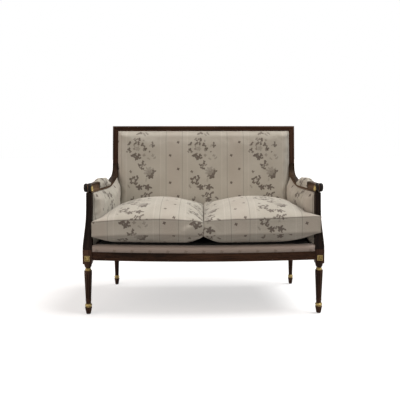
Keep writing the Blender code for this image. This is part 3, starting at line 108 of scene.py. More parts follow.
COLLAR_TOP = 0.2505
SHAFT_TOP = 0.2354
ANKLE_TOP = 0.058
TOE_TOP = 0.0399
GLIDE_THICKNESS = 0.003
REAR_LEG_SLIMNESS = 0.80

# Sizes of the upholstery
PAD_EDGE = 0.002
PAD_RECESS = 0.010
PAD_FIT = 0.0008
BACK_BULGE = 0.030
BACK_SPAN = 0.030
BACK_PAD_BOTTOM = 0.3666
ARM_PANEL_BULGE = 0.028
ARM_PANEL_SPAN = 0.046
ARM_PANEL_FIT = 0.0018
ARM_PAD_START = 0.206
ARM_PAD_LENGTH = 0.225
ARM_PAD_CROWN = 0.020
ARM_PAD_LEVELLING = 0.35
ARM_PAD_SIDE = 0.0065
ARM_PAD_REVEAL = 0.010
ARM_PAD_END_SPAN = 0.048
ARM_PAD_SHOULDER = 0.3
BORDER_PROUD = 0.004
BORDER_FRONT_TOP = 0.358
BORDER_TOP = 0.373
BORDER_ROUND = 0.020
BORDER_DEPTH = 0.045
BORDER_SOFTNESS = 0.006
DECK_ROUND = 0.016
CUSHION_GAP = 0.0006
CUSHION_SIDE_EASE = 0.0025
CUSHION_BACK_EASE = 0.004
CUSHION_PROUD = 0.018
CUSHION_EARS = {-1: 0.013, 1: 0.044}
CUSHION_EAR_START = -0.012
CUSHION_EAR_END = 0.055
CUSHION_TOP_SEAM = 0.501
CUSHION_TOP_SEAM_LIFT = 0.017
CUSHION_LOW_SEAM = 0.421
CUSHION_LOW_SEAM_LIFT = 0.017
CUSHION_SEAM_PEAK = 0.35
CUSHION_OUTER_LIFTS = {-1: 0.0, 1: 0.030}
CUSHION_LIFT_START = 0.3
CUSHION_LOW_LIFT = 0.7
CUSHION_INNER_DROPS = {-1: 0.012, 1: 0.0}
CUSHION_DROP_SPAN = 0.070
CUSHION_CROWN = 0.062
CUSHION_FULLNESS = 0.7
CUSHION_INNER_FULLNESS = 0.88
CUSHION_BELLY_FULLNESS = 0.26
CUSHION_CROWN_SPAN = 0.250
CUSHION_BELLY_SPAN = 0.100
CUSHION_OUTER_BELLY_SPANS = {-1: 0.100, 1: 0.200}
CUSHION_BELLY_FRONT_SPAN = 0.035
CUSHION_FRONT_RISE = 0.033
CUSHION_FRONT_RISE_SPAN = 0.130
CUSHION_DRAWN_IN = 0.002


def lerp(start, end, share):
    return start + (end - start) * share


def smoothstep(t):
    t = min(1.0, max(0.0, t))
    return t * t * (3 - 2 * t)


def swell(distance, span):
    """Rises from 0 at an edge to 1 once the distance from it reaches span."""
    return math.sin(math.pi / 2 * min(1.0, max(0.0, distance / span)))


def edge_distance(share, length):
    return min(share, 1 - share) * length


def even_cuts(cells, start=0.0, end=1.0):
    return [lerp(start, end, i / cells) for i in range(cells + 1)]


def stile_face(z):
    """The y of the front of the rear posts, which lean back above LEAN_START."""
    return POST_FRONT_Y + max(0.0, z - LEAN_START) * LEAN


ARM_FRONT_X = LEG_X - 0.004
ARM_REAR_X = POST_OUTER_X - ARM_WIDTH / 2
ARM_POST_TOP_Y = ARM_POST_RECESS + ARM_POST_TOP_DEPTH / 2
ARM_END_Y = stile_face(ARM_UNDERSIDE)
ARM_TAPER = (ARM_FRONT_X - ARM_REAR_X) / (ARM_END_Y - ARM_POST_TOP_Y)
RAIL_TAPER = (BLOCK_OUTER_X - POST_OUTER_X) / (POST_FRONT_Y - BLOCK_SIZE)


def arm_centre(y):
    return ARM_FRONT_X - (y - ARM_POST_TOP_Y) * ARM_TAPER


def arm_inner(y):
    return arm_centre(y) - ARM_WIDTH / 2


def arm_under(y):
    """The height of the arm's underside: it falls gently, then kicks up to the stile."""
    t = (y - VOLUTE_CENTRE_Y) / (ARM_END_Y - VOLUTE_CENTRE_Y)
    kick = max(0.0, t - ARM_KICK_START_SHARE) / (1 - ARM_KICK_START_SHARE)
    return ARM_UNDERSIDE - ARM_FALL * t + ARM_KICK * kick ** 2


def arm_top(y):
    t = (y - VOLUTE_CENTRE_Y) / (ARM_END_Y - VOLUTE_CENTRE_Y)
    thinning = (t - ARM_THINNING_START_SHARE) / (ARM_THINNING_END_SHARE - ARM_THINNING_START_SHARE)
    return arm_under(y) + lerp(ARM_FRONT_THICKNESS, ARM_REAR_THICKNESS, smoothstep(thinning))


def arm_post_share(z):
    return min(1.0, max(0.0, (z - BLOCK_TOP) / (ARM_UNDERSIDE - BLOCK_TOP)))


def arm_post_front(share):
    return ARM_POST_RECESS * swell(share - ARM_POST_FOOT_SHARE, ARM_POST_SWEEP_SHARE)


def arm_post_rear(share):
    return arm_post_front(share) + lerp(BLOCK_SIZE, ARM_POST_TOP_DEPTH, share)


def rail_outer(y):
    return BLOCK_OUTER_X - (y - BLOCK_SIZE) * RAIL_TAPER


def rail_front(x):
    """The y of the bowed front of the front rail."""
    return RAIL_SETBACK - FRONT_BOW * max(0.0, 1 - (x / BLOCK_INNER_X) ** 2)


def back_face(z):
    return stile_face(z) + PAD_EDGE - BACK_BULGE


def arm_panel_face(y):
    return arm_inner(y) + PAD_EDGE - ARM_PANEL_BULGE


# Ways of making meshes
SMOOTH_DEG = 35
CLOTH_SMOOTH_DEG = 50
FINE_SMOOTH_DEG = 60
NEARLY_UPRIGHT = 0.95


def arc(centre_a, centre_b, radius, start_deg, end_deg, steps):
    """Points of an arc, as (a, b), with both ends."""
    points = []
    for i in range(steps + 1):
        turn = math.radians(lerp(start_deg, end_deg, i / steps))
        points.append((centre_a + radius * math.cos(turn), centre_b + radius * math.sin(turn)))
    return points


def loft(rings, closed=False):
    """Skins equal rings of points, one after another: (points, faces). It is capped, or closed on itself."""
    count = len(rings[0])
    points = [point for ring in rings for point in ring]
    faces = []
    for r in range(len(rings) if closed else len(rings) - 1):
        near = r * count
        far = (r + 1) % len(rings) * count
        for i in range(count):
            j = (i + 1) % count
            faces.append((near + i, near + j, far + j, far + i))
    if not closed:
        faces.append(tuple(reversed(range(count))))
        faces.append(tuple(range(len(points) - count, len(points))))
    return points, faces


def turning(profile, steps, carve=None, closed=False):
    """Turns (radius, height) points round the z axis. carve(radius, height, turn) may change the radius."""
    rings = []
    for radius, height in profile:
        ring = []
        for i in range(steps):
            turn = 2 * math.pi * i / steps
            r = carve(radius, height, turn) if carve else radius
            ring.append((r * math.cos(turn), r * math.sin(turn), height))
        rings.append(ring)
    return loft(rings, closed)


def tube(path, radius, sides=8, closed=False):
    """A round bead along a path of points."""
    path = [Vector(p) for p in path]
    rings = []
    up = Vector((0, 0, 1))
    for i, here in enumerate(path):
        before = path[i - 1] if i or closed else here
        after = path[(i + 1) % len(path)] if i + 1 < len(path) or closed else here
        along = (after - before).normalized()
        if abs(along.dot(up)) > NEARLY_UPRIGHT:
            up = Vector((0, 1, 0))
        across = along.cross(up).normalized()
        up = across.cross(along).normalized()
        ring = []
        for k in range(sides):
            turn = 2 * math.pi * k / sides
            ring.append(tuple(here + across * radius * math.cos(turn) + up * radius * math.sin(turn)))
        rings.append(ring)
    return loft(rings, closed)


def profile_from(base, table):
    """A profile from rows of (radius, height over the base). The row of an arc's centre goes on with the
    arc's radius, two angles and steps."""
    profile = []
    for radius, height, *bend in table:
        profile += arc(radius, base + height, *bend) if bend else [(radius, base + height)]
    return profile


def unit_shell(cuts):
    """The skin of a unit cube cut at three lists of shares: its corners, its quads and each quad's side."""
    index = {}
    quads = []
    sides = []
    for axis in range(3):
        a = (axis + 1) % 3
        b = (axis + 2) % 3
        for end, side in ((0, -1), (len(cuts[axis]) - 1, 1)):
            for i in range(len(cuts[a]) - 1):
                for j in range(len(cuts[b]) - 1):
                    quad = []
                    for di, dj in ((0, 0), (1, 0), (1, 1), (0, 1)):
                        key = [0, 0, 0]
                        key[axis] = end
                        key[a] = i + di
                        key[b] = j + dj
                        quad.append(index.setdefault(tuple(key), len(index)))
                    quads.append(quad if side > 0 else quad[::-1])
                    sides.append((axis, side))
    corners = [tuple(cuts[n][k] for n, k in enumerate(key)) for key in index]
    return corners, quads, sides


def rounded_box(low, high, radius, steps=3):
    """A box with rounded edges, in (points, faces)."""
    bm = bmesh.new()
    bmesh.ops.create_cube(bm, size=1)
    for vert in bm.verts:
        vert.co = [lerp(a, b, c + 0.5) for a, b, c in zip(low, high, vert.co)]
    bmesh.ops.bevel(bm, geom=bm.edges[:], offset=radius, segments=steps, profile=0.5, affect="EDGES")
    points = [tuple(vert.co) for vert in bm.verts]
    faces = [tuple(vert.index for vert in face.verts) for face in bm.faces]
    bm.free()
    return points, faces


def moved(shape, x=0.0, y=0.0, z=0.0):
    points, faces = shape
    return [(a + x, b + y, c + z) for a, b, c in points], faces


def turned_to_x(shape):
    """Lays a turning's axis along +X."""
    points, faces = shape
    return [(c, a, b) for a, b, c in points], faces


def joined(*shapes):
    points = []
    faces = []
    for more_points, more_faces in shapes:
        faces += [tuple(i + len(points) for i in face) for face in more_faces]
        points += more_points
    return points, faces


def put(name, data):
    """Puts an object with this data into the scene."""
    item = bpy.data.objects.new(name, data)
    bpy.context.scene.collection.objects.link(item)
    return item


def add_piece(
        name, shape, material, slot, side=1, body="frame", stands_for=(), smooth_deg=SMOOTH_DEG, tone=None):
    """Puts a shape into the scene as a piece that rides on a body."""
    points, faces = shape
    mesh = bpy.data.meshes.new(name)
    mesh.from_pydata([(side * x, y + FRONT_Y, z) for x, y, z in points], [], faces)
    bm = bmesh.new()
    bm.from_mesh(mesh)
    bmesh.ops.recalc_face_normals(bm, faces=bm.faces)
    bm.to_mesh(mesh)
    bm.free()
    if tone is not None:
        mesh.attributes.new("tone", "FLOAT", "POINT").data.foreach_set("value", tone)
    mesh.shade_smooth()
    mesh.set_sharp_from_angle(angle=math.radians(smooth_deg))
    mesh.materials.append(material)
    piece = put(name, mesh)
    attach(piece, body)
    if stands_for:
        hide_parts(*stands_for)
    return piece


def add_pair(name, shape, material, slot, stands_for, **looks):
    """Puts a right-hand shape and its mirror image into the scene."""
    for side_name, side in SIDES:
        node = stands_for + "_" + side_name
        add_piece(name + "_" + side_name, shape, material, slot, side, stands_for=[node], **looks)


# Shader building
def plug(tree, value, socket):
    """Links an output to a socket, or sets the socket to a plain value."""
    if isinstance(value, bpy.types.NodeSocket):
        tree.links.new(value, socket)
    else:
        socket.default_value = value


def sums(tree, operation, *values, clamp=False):
    node = tree.nodes.new("ShaderNodeMath")
    node.operation = operation
    node.use_clamp = clamp
    for value, socket in zip(values, node.inputs):
        plug(tree, value, socket)
    return node.outputs[0]


def mixed(tree, share, first, second):
    """Blends two colours."""
    node = tree.nodes.new("ShaderNodeMix")
    node.data_type = "RGBA"
    plug(tree, share, node.inputs["Factor"])
    plug(tree, first, node.inputs["A"])
    plug(tree, second, node.inputs["B"])
    return node.outputs["Result"]


def ramped(tree, value, low, high, start=0.0, end=1.0):
    """Maps a value smoothly from low..high to start..end."""
    node = tree.nodes.new("ShaderNodeMapRange")
    node.interpolation_type = "SMOOTHSTEP"
    labels = ("Value", "From Min", "From Max", "To Min", "To Max")
    for label, number in zip(labels, (value, low, high, start, end)):
        plug(tree, number, node.inputs[label])
    return node.outputs["Result"]


def attribute(tree, name):
    """A number stored on the mesh's points."""
    node = tree.nodes.new("ShaderNodeAttribute")
    node.attribute_name = name
    return node.outputs["Fac"]


def parted(tree, vector):
    node = tree.nodes.new("ShaderNodeSeparateXYZ")
    plug(tree, vector, node.inputs[0])
    return node.outputs


def combined(tree, *values):
    node = tree.nodes.new("ShaderNodeCombineXYZ")
    for value, socket in zip(values, node.inputs):
        plug(tree, value, socket)
    return node.outputs[0]


def vectors(tree, operation, *values):
    node = tree.nodes.new("ShaderNodeVectorMath")
    node.operation = operation
    for value, socket in zip(values, node.inputs):
        plug(tree, value, socket)
    return node.outputs[0]


def object_place(tree):
    return tree.nodes.new("ShaderNodeTexCoord").outputs["Object"]


def cloth_place(tree):
    """Where a point lies on its cloth, in metres."""
    node = tree.nodes.new("ShaderNodeUVMap")
    node.uv_map = "cloth"
    return node.outputs["UV"]


def noise(tree, vector, scale, detail=2.0, roughness=0.5):
    node = tree.nodes.new("ShaderNodeTexNoise")
    plug(tree, vector, node.inputs["Vector"])
    node.inputs["Scale"].default_value = scale
    node.inputs["Detail"].default_value = detail
    node.inputs["Roughness"].default_value = roughness
    return node.outputs["Fac"]


def stretched(tree, vector, scale):
    node = tree.nodes.new("ShaderNodeMapping")
    plug(tree, vector, node.inputs["Vector"])
    node.inputs["Scale"].default_value = scale
    return node.outputs["Vector"]


def new_group(name, inputs, outputs):
    """A node group whose inputs and outputs are given as {label: kind}: its tree and its two ends."""
    tree = bpy.data.node_groups.new(name, "ShaderNodeTree")
    for direction, sockets in (("INPUT", inputs), ("OUTPUT", outputs)):
        for label, kind in sockets.items():
            tree.interface.new_socket(name=label, in_out=direction, socket_type=kind)
    taken = tree.nodes.new("NodeGroupInput").outputs
    given = tree.nodes.new("NodeGroupOutput").inputs
    return tree, taken, given


def placed(tree, group, **values):
    """Places a group and plugs its inputs, whose labels are given with _ for a space."""
    node = tree.nodes.new("ShaderNodeGroup")
    node.node_tree = group
    for label, value in values.items():
        plug(tree, value, node.inputs[label.replace("_", " ")])
    return node.outputs


FLOAT = "NodeSocketFloat"
COLOUR = "NodeSocketColor"
VECTOR = "NodeSocketVector"
SURFACE = {"Colour": COLOUR, "Roughness": FLOAT, "Height": FLOAT}

# Each noise of the wood: how far it is drawn out along the grain, then its scale, detail and roughness
FIGURE = (0.12, 22, 4, 0.6)
STREAKS = (0.05, 260, 3, 0.6)
PORES = (0.04, 1500, 1, 0.5)
PORE_RANGE = (0.60, 0.72)
GRAIN_RANGE = (0.36, 0.66)
FIGURE_SHARE = 0.65
WEAR_AND_HIGHLIGHT_RANGE = (0.25, 0.6)
WEAR_AND_HIGHLIGHT_SHARE = 0.8
PORE_SHARE = 0.5
GLAZE_AND_SHADE_SHARE = 0.85
GLAZE_AND_SHADE_COLOUR = (0.003, 0.002, 0.0015, 1)
POLISH_RANGE = (0.3, 0.7, 0.26, 0.38)
GLAZE_ROUGHNESS = 0.25
STREAK_HEIGHT = 0.4


def make_timber_group():
    """Grain, pores and figure of a wood, with glaze and painted shade where its tone is high, and wear and a
    painted highlight where it is low. The grain runs along x.
    """
    tree, taken, given = new_group("timber", {"Vector": VECTOR, "Dark": COLOUR, "Light": COLOUR}, SURFACE)

    def drawn_out(along, *rest):
        return noise(tree, stretched(tree, taken["Vector"], (along, 1, 1)), *rest)

    def times(value, factor):
        return sums(tree, "MULTIPLY", value, factor)
    figure = drawn_out(*FIGURE)
    streaks = drawn_out(*STREAKS)
    pore_mask = ramped(tree, drawn_out(*PORES), *PORE_RANGE)
    blend = sums(tree, "ADD", times(figure, FIGURE_SHARE), times(streaks, 1 - FIGURE_SHARE))
    colour = mixed(tree, ramped(tree, blend, *GRAIN_RANGE), taken["Dark"], taken["Light"])
    tone = attribute(tree, "tone")
    # Positive tone: the glaze in the hollows, and the painted shade laid on the arm tops
    hollow = sums(tree, "MAXIMUM", tone, 0.0, clamp=True)
    # Negative tone: wear on the crests, and the highlight painted along the frame's cove
    worn_and_highlit = times(sums(tree, "MULTIPLY", tone, -1.0, clamp=True), ramped(tree, figure, *WEAR_AND_HIGHLIGHT_RANGE))
    colour = mixed(tree, times(pore_mask, PORE_SHARE), colour, taken["Dark"])
    colour = mixed(tree, times(worn_and_highlit, WEAR_AND_HIGHLIGHT_SHARE), colour, taken["Light"])
    colour = mixed(tree, times(hollow, GLAZE_AND_SHADE_SHARE), colour, GLAZE_AND_SHADE_COLOUR)
    plug(tree, colour, given["Colour"])
    rough = sums(tree, "ADD", ramped(tree, streaks, *POLISH_RANGE), times(hollow, GLAZE_ROUGHNESS))
    plug(tree, rough, given["Roughness"])
    plug(tree, sums(tree, "SUBTRACT", times(streaks, STREAK_HEIGHT), pore_mask), given["Height"])
    return tree


GILDING_PATCHES = (90, 4, 0.65)
GILDING_GRIT = (900, 2, 0.5)
DULLED_RANGE = (0.42, 0.72)
DULLED_HOLLOW = 0.9
METAL_ROUGHNESS = (0.30, 0.55)


def make_gilding_group():
    """Patches of rubbed and dulled metal, darker in its hollows."""
    tree, taken, given = new_group("gilding", {"Vector": VECTOR, "Bright": COLOUR, "Dull": COLOUR}, SURFACE)
    patches = noise(tree, taken["Vector"], *GILDING_PATCHES)
    hollow = sums(tree, "MULTIPLY", sums(tree, "MAXIMUM", attribute(tree, "tone"), 0.0), DULLED_HOLLOW)
    dulled = sums(tree, "ADD", ramped(tree, patches, *DULLED_RANGE), hollow, clamp=True)
    plug(tree, mixed(tree, dulled, taken["Bright"], taken["Dull"]), given["Colour"])
    plug(tree, ramped(tree, dulled, 0.0, 1.0, *METAL_ROUGHNESS), given["Roughness"])
    plug(tree, noise(tree, taken["Vector"], *GILDING_GRIT), given["Height"])
    return tree


SLUB_STRETCH = 0.03
SLUB_NOISE = (700, 1, 0.5)
SLUB_HEIGHT = 1.5


def make_weave_group():
    """A plain weave of threads, with slubs, on cloth coordinates in metres."""
    tree, taken, given = new_group(
        "plain_weave", {"Cloth": VECTOR, "Threads": FLOAT}, {"Height": FLOAT, "Slub": FLOAT})
    parts = parted(tree, taken["Cloth"])
    waves = []
    for axis in ("X", "Y"):
        turns = sums(tree, "MULTIPLY", sums(tree, "MULTIPLY", parts[axis], taken["Threads"]), math.pi)
        waves.append(sums(tree, "SINE", turns))
    over = sums(tree, "MULTIPLY", *waves)
    warp = noise(tree, stretched(tree, taken["Cloth"], (1, SLUB_STRETCH, 1)), *SLUB_NOISE)
    weft = noise(tree, stretched(tree, taken["Cloth"], (SLUB_STRETCH, 1, 1)), *SLUB_NOISE)
    slub = sums(tree, "MULTIPLY", sums(tree, "ADD", warp, weft), 0.5)
    plug(tree, slub, given["Slub"])
    plug(tree, sums(tree, "ADD", over, sums(tree, "MULTIPLY", slub, SLUB_HEIGHT)), given["Height"])
    return tree


# A stamp's edge is a share of its size: a base, and two waves of petals (more leaves, phase, strength)
STAMP_BASE = 0.34
STAMP_PETALS = ((0.0, 0.0, 0.52), (3.0, 0.9, 0.22))
STAMP_POINTEDNESS = 0.8
STAMP_OUTER_BLUR = (-0.05, 0.08)
STAMP_INNER_BLUR = (-0.06, 0.06)


def make_stamp_group():
    """One printed motif: leaves round a centre, as a mask. Heart leaves the middle of it open."""
    numbers = dict.fromkeys(("Size", "Stretch", "Leaves", "Turn", "Heart", "Ink"), FLOAT)
    tree, taken, given = new_group("stamp", {"Cloth": VECTOR, "Centre": VECTOR, **numbers}, {"Mask": FLOAT})
    turned = tree.nodes.new("ShaderNodeVectorRotate")
    turned.rotation_type = "Z_AXIS"
    plug(tree, vectors(tree, "SUBTRACT", taken["Cloth"], taken["Centre"]), turned.inputs["Vector"])
    plug(tree, taken["Turn"], turned.inputs["Angle"])
    parts = parted(tree, turned.outputs[0])
    x = sums(tree, "DIVIDE", parts["X"], taken["Stretch"])
    y = sums(tree, "MULTIPLY", parts["Y"], taken["Stretch"])
    squares = sums(tree, "ADD", sums(tree, "MULTIPLY", x, x), sums(tree, "MULTIPLY", y, y))
    radius = sums(tree, "DIVIDE", sums(tree, "SQRT", squares), taken["Size"])
    turn = sums(tree, "ARCTAN2", y, x)
    edge = STAMP_BASE
    for more, phase, strength in reversed(STAMP_PETALS):
        half = sums(tree, "MULTIPLY", sums(tree, "ADD", taken["Leaves"], more), 0.5)
        wave = sums(tree, "COSINE", sums(tree, "MULTIPLY_ADD", turn, half, phase))
        petals = sums(tree, "POWER", sums(tree, "ABSOLUTE", wave), STAMP_POINTEDNESS)
        edge = sums(tree, "MULTIPLY_ADD", petals, strength, edge)
    inside = ramped(tree, sums(tree, "SUBTRACT", edge, radius), *STAMP_OUTER_BLUR)
    core = sums(tree, "SUBTRACT", radius, sums(tree, "MULTIPLY", taken["Heart"], edge))
    opened = ramped(tree, core, *STAMP_INNER_BLUR)
    mask = sums(tree, "MULTIPLY", sums(tree, "MULTIPLY", inside, opened), taken["Ink"])
    plug(tree, mask, given["Mask"])
    return tree


# The print: its repeat, and its motifs as (across, down, size) in millimetres from the middle of a flower
# column, then stretch, leaves, turn in degrees, how much of the middle is open, and ink
MM = 0.001
COLUMN_REPEAT = 0.3735
COLUMN_X = -0.0105
DOWN_REPEAT = 0.460
DOWN_START = -0.012
DOT_STEP = 0.0835
DOT_START = 0.065
DOT_BAND = 0.2035
DOT_SIZE = 0.0092
DOT_LEAVES = 4.0
DOT_TURN = 0.4
WOBBLE = 0.012
WOBBLE_NOISE = (95, 4)
BAND_LINES = (0.154, 0.253)
BAND_LINE_WIDTH = 0.0036
PALE_STRIPES = (0.121, 0.2855)
PALE_STRIPE_WIDTH = 0.008
RIB_STEP = 0.011
RIB_ZONE_WIDTH = 0.046
RIB_PALENESS = 0.35
STRIPE_CORE = 0.55
BREAK_NOISE = (420, 2, 0.6)
BREAK_RANGE = (0.30, 0.55, 0.70, 1.0)
MOTIFS = (
    (-3, 11, 9, 1.2, 2, 160, 0, 0.8), (36, 13, 9, 1.3, 2, 150, 0, 0.6), (-21, 15, 9, 1.2, 2, 20, 0, 0.8),
    (20, 19, 9, 1.3, 2, 140, 0, 0.5), (-39, 45, 8, 1.2, 2, 40, 0, 0.6), (-7, 49, 10, 1.2, 2, 100, 0, 0.9),
    (17, 56, 7, 1.0, 3, 0, 0, 0.45), (-21, 57, 17, 1.0, 5, 15, 0.5, 0.85), (72, 71, 8, 1.1, 2, 95, 0, 0.75),
    (-68, 74, 11, 1.1, 2, 60, 0, 0.9), (-35, 76, 10, 1.1, 2, 30, 0, 0.85),
    (-14, 76, 10, 1.1, 2, 90, 0, 0.85), (9, 80, 11, 1.2, 2, 60, 0, 0.9), (-77, 82, 8, 1.1, 2, 10, 0, 0.8),
    (57, 87, 8, 1.2, 2, 60, 0, 0.35), (-41, 89, 8, 1.2, 2, 120, 0, 0.45), (74, 89, 12, 1.0, 3, 15, 0, 0.85),
    (20, 90, 9, 1.1, 2, 140, 0, 0.85), (-18, 107, 16, 1.0, 5, 0, 0, 0.33),
    (-40, 108, 9, 1.1, 3, 70, 0, 0.55), (27, 108, 12, 1.0, 3, 30, 0, 0.95),
    (-73, 112, 11, 1.1, 3, 60, 0, 0.9), (18, 117, 8, 1.1, 2, 120, 0, 0.65),
    (-84, 126, 7, 1.0, 3, 40, 0, 0.6), (-64, 126, 9, 1.0, 3, 0, 0, 0.8), (53, 126, 6, 1.0, 3, 0, 0, 0.75),
    (-31, 143, 9, 1.2, 2, 80, 0, 0.8), (-9, 145, 10, 1.2, 2, 130, 0, 0.9),
    (-46, 147, 14, 1.2, 2, 25, 0, 0.95), (19, 147, 10, 1.0, 4, 0, 0, 0.5), (73, 149, 10, 1.0, 4, 20, 0, 0.4),
    (-28, 155, 9, 1.0, 3, 0, 0, 0.95), (-17, 156, 12, 1.2, 2, 70, 0, 0.95),
    (-37, 160, 10, 1.2, 2, 135, 0, 0.9), (-6, 165, 9, 1.1, 2, 20, 0, 0.9), (84, 165, 9, 1.2, 2, 40, 0, 0.4),
    (-27, 170, 11, 1.1, 3, 90, 0, 0.95), (48, 170, 9, 1.2, 2, 150, 0, 0.35),
    (12, 193, 12, 1.2, 2, 80, 0, 0.9), (-11, 207, 9, 1.2, 2, 140, 0, 0.9), (24, 207, 9, 1.2, 2, 30, 0, 0.6),
    (-1, 216, 14, 1.0, 5, 20, 0.35, 0.9), (9, 230, 9, 1.2, 2, 10, 0, 0.9),
    (80, 246, 13, 1.1, 3, 10, 0, 0.85), (-62, 248, 9, 1.0, 4, 10, 0, 0.8), (51, 250, 35, 1.0, 9, 0, 0, 0.36),
    (57, 259, 23, 1.0, 7, 30, 0, 0.55), (70, 264, 12, 1.1, 3, 60, 0, 0.9), (39, 273, 9, 1.2, 2, 45, 0, 0.75),
    (67, 278, 11, 1.1, 2, 130, 0, 0.9), (-21, 281, 11, 1.2, 2, 120, 0, 0.9),
    (57, 281, 15, 1.2, 3, 0, 0, 0.95), (33, 298, 10, 1.3, 2, 80, 0, 0.25),
    (-46, 302, 27, 1.0, 5, 10, 0.42, 0.9), (-27, 323, 10, 1.2, 2, 50, 0, 0.85),
    (17, 335, 8, 1.1, 2, 60, 0, 0.8), (-73, 339, 10, 1.3, 2, 120, 0, 0.4), (-22, 339, 9, 1.2, 2, 20, 0, 0.9),
    (41, 343, 20, 1.0, 5, 0, 0, 0.92), (-7, 344, 19, 1.0, 5, 30, 0, 0.92), (59, 346, 9, 1.2, 2, 160, 0, 0.9),
    (62, 378, 10, 1.2, 2, 30, 0, 0.85), (24, 383, 9, 1.2, 2, 60, 0, 0.85), (7, 397, 9, 1.1, 3, 20, 0, 0.8),
    (41, 397, 19, 1.0, 5, 40, 0.42, 0.9), (-44, 406, 8, 1.2, 2, 90, 0, 0.7),
    (91, 410, 11, 1.2, 2, 145, 0, 0.8), (-52, 420, 12, 1.0, 3, 30, 0, 0.85),
    (38, 420, 17, 1.2, 5, 0, 0, 0.9))


def make_print_group(stamp):
    """The floral stripe on cloth coordinates in metres, x across and y down: masks of its ink and stripes."""
    tree, taken, given = new_group(
        "floral_stripe_print",
        {"Cloth": VECTOR, "Dot Swing": FLOAT, "Dots": FLOAT, "Flowers": FLOAT},
        dict.fromkeys(("Ink", "Pale", "Line", "Band"), FLOAT))
    wobble = tree.nodes.new("ShaderNodeTexNoise")
    plug(tree, taken["Cloth"], wobble.inputs["Vector"])
    wobble.inputs["Scale"].default_value, wobble.inputs["Detail"].default_value = WOBBLE_NOISE
    shake = vectors(
        tree, "MULTIPLY_ADD", wobble.outputs["Color"], (WOBBLE, WOBBLE, 0), (-WOBBLE / 2, -WOBBLE / 2, 0))
    shaken = parted(tree, vectors(tree, "ADD", taken["Cloth"], shake))
    half = COLUMN_REPEAT / 2
    across = sums(tree, "WRAP", sums(tree, "SUBTRACT", shaken["X"], COLUMN_X), half, -half)
    down = sums(tree, "WRAP", shaken["Y"], DOWN_START + DOWN_REPEAT, DOWN_START)
    cell = combined(tree, across, down)
    ink = 0.0
    for x, y, size, stretch, leaves, turn, heart, strength in MOTIFS:
        mask = placed(
            tree, stamp, Cloth=cell, Centre=(x * MM, y * MM, 0), Size=size * MM, Stretch=stretch,
            Leaves=float(leaves), Turn=math.radians(turn), Heart=float(heart), Ink=strength)["Mask"]
        ink = sums(tree, "MAXIMUM", ink, mask)
    ink = sums(tree, "MULTIPLY", ink, taken["Flowers"])

    straight = parted(tree, taken["Cloth"])
    offset = sums(tree, "WRAP", sums(tree, "SUBTRACT", straight["X"], COLUMN_X), COLUMN_REPEAT, 0.0)
    for row, start in ((1, DOT_START), (-1, DOT_START + DOT_STEP)):
        along = sums(tree, "WRAP", sums(tree, "SUBTRACT", straight["Y"], start), DOT_STEP, -DOT_STEP)
        swing = sums(tree, "MULTIPLY_ADD", taken["Dot Swing"], row, DOT_BAND)
        dot = placed(
            tree, stamp, Cloth=combined(tree, sums(tree, "SUBTRACT", offset, swing), along),
            Centre=(0, 0, 0), Size=DOT_SIZE, Stretch=1.0, Leaves=DOT_LEAVES, Turn=DOT_TURN, Heart=0.0,
            Ink=taken["Dots"])["Mask"]
        ink = sums(tree, "MAXIMUM", ink, dot)
    breaks = ramped(tree, noise(tree, taken["Cloth"], *BREAK_NOISE), *BREAK_RANGE)
    plug(tree, sums(tree, "MULTIPLY", ink, breaks), given["Ink"])

    def stripes(places, width):
        total = 0.0
        for place in places:
            away = sums(tree, "ABSOLUTE", sums(tree, "SUBTRACT", offset, place))
            total = sums(tree, "ADD", total, ramped(tree, away, width / 2, width / 2 * STRIPE_CORE))
        return total
    wave = sums(tree, "SINE", sums(tree, "MULTIPLY", offset, 2 * math.pi / RIB_STEP))
    ribs = sums(tree, "MULTIPLY_ADD", wave, 0.5, 0.5)
    zones = [(stripe + line) / 2 for stripe, line in zip(PALE_STRIPES, BAND_LINES)]
    ribs = sums(tree, "MULTIPLY", ribs, stripes(zones, RIB_ZONE_WIDTH))
    ribs = sums(tree, "MULTIPLY", ribs, RIB_PALENESS)
    plug(tree, sums(tree, "MAXIMUM", stripes(PALE_STRIPES, PALE_STRIPE_WIDTH), ribs), given["Pale"])
    plug(tree, stripes(BAND_LINES, BAND_LINE_WIDTH), given["Line"])
    plug(tree, stripes((DOT_BAND,), BAND_LINES[1] - BAND_LINES[0]), given["Band"])
    return tree


TIMBER = make_timber_group()
GILDING = make_gilding_group()
WEAVE = make_weave_group()
PRINT = make_print_group(make_stamp_group())


def new_material(name):
    material = bpy.data.materials.new(name)
    material.use_nodes = True
    return material, material.node_tree, material.node_tree.nodes["Principled BSDF"]


def dress(tree, shader, colour, roughness, height, distance):
    """Plugs in the looks of a surface, and its height as a bump of so many metres."""
    plug(tree, colour, shader.inputs["Base Color"])
    plug(tree, roughness, shader.inputs["Roughness"])
    bump = tree.nodes.new("ShaderNodeBump")
    bump.inputs["Distance"].default_value = distance
    plug(tree, height, bump.inputs["Height"])
    plug(tree, bump.outputs["Normal"], shader.inputs["Normal"])


TIMBER_SPECULAR = 0.06
BEECH_SPECULAR = 0.3
GRAIN_HEIGHT = 0.00012


def make_timber_material(name, grain, dark, light, specular=TIMBER_SPECULAR):
    """Wood with its grain along x, y or z, and a polish on it."""
    material, tree, shader = new_material(name)
    place = object_place(tree)
    if grain != "x":
        parts = parted(tree, place)
        place = combined(tree, *(parts[axis] for axis in {"y": "YZX", "z": "ZXY"}[grain]))
    looks = placed(tree, TIMBER, Vector=place, Dark=(*dark, 1), Light=(*light, 1))
    dress(tree, shader, looks["Colour"], looks["Roughness"], looks["Height"], GRAIN_HEIGHT)
    shader.inputs["Specular IOR Level"].default_value = specular
    return material


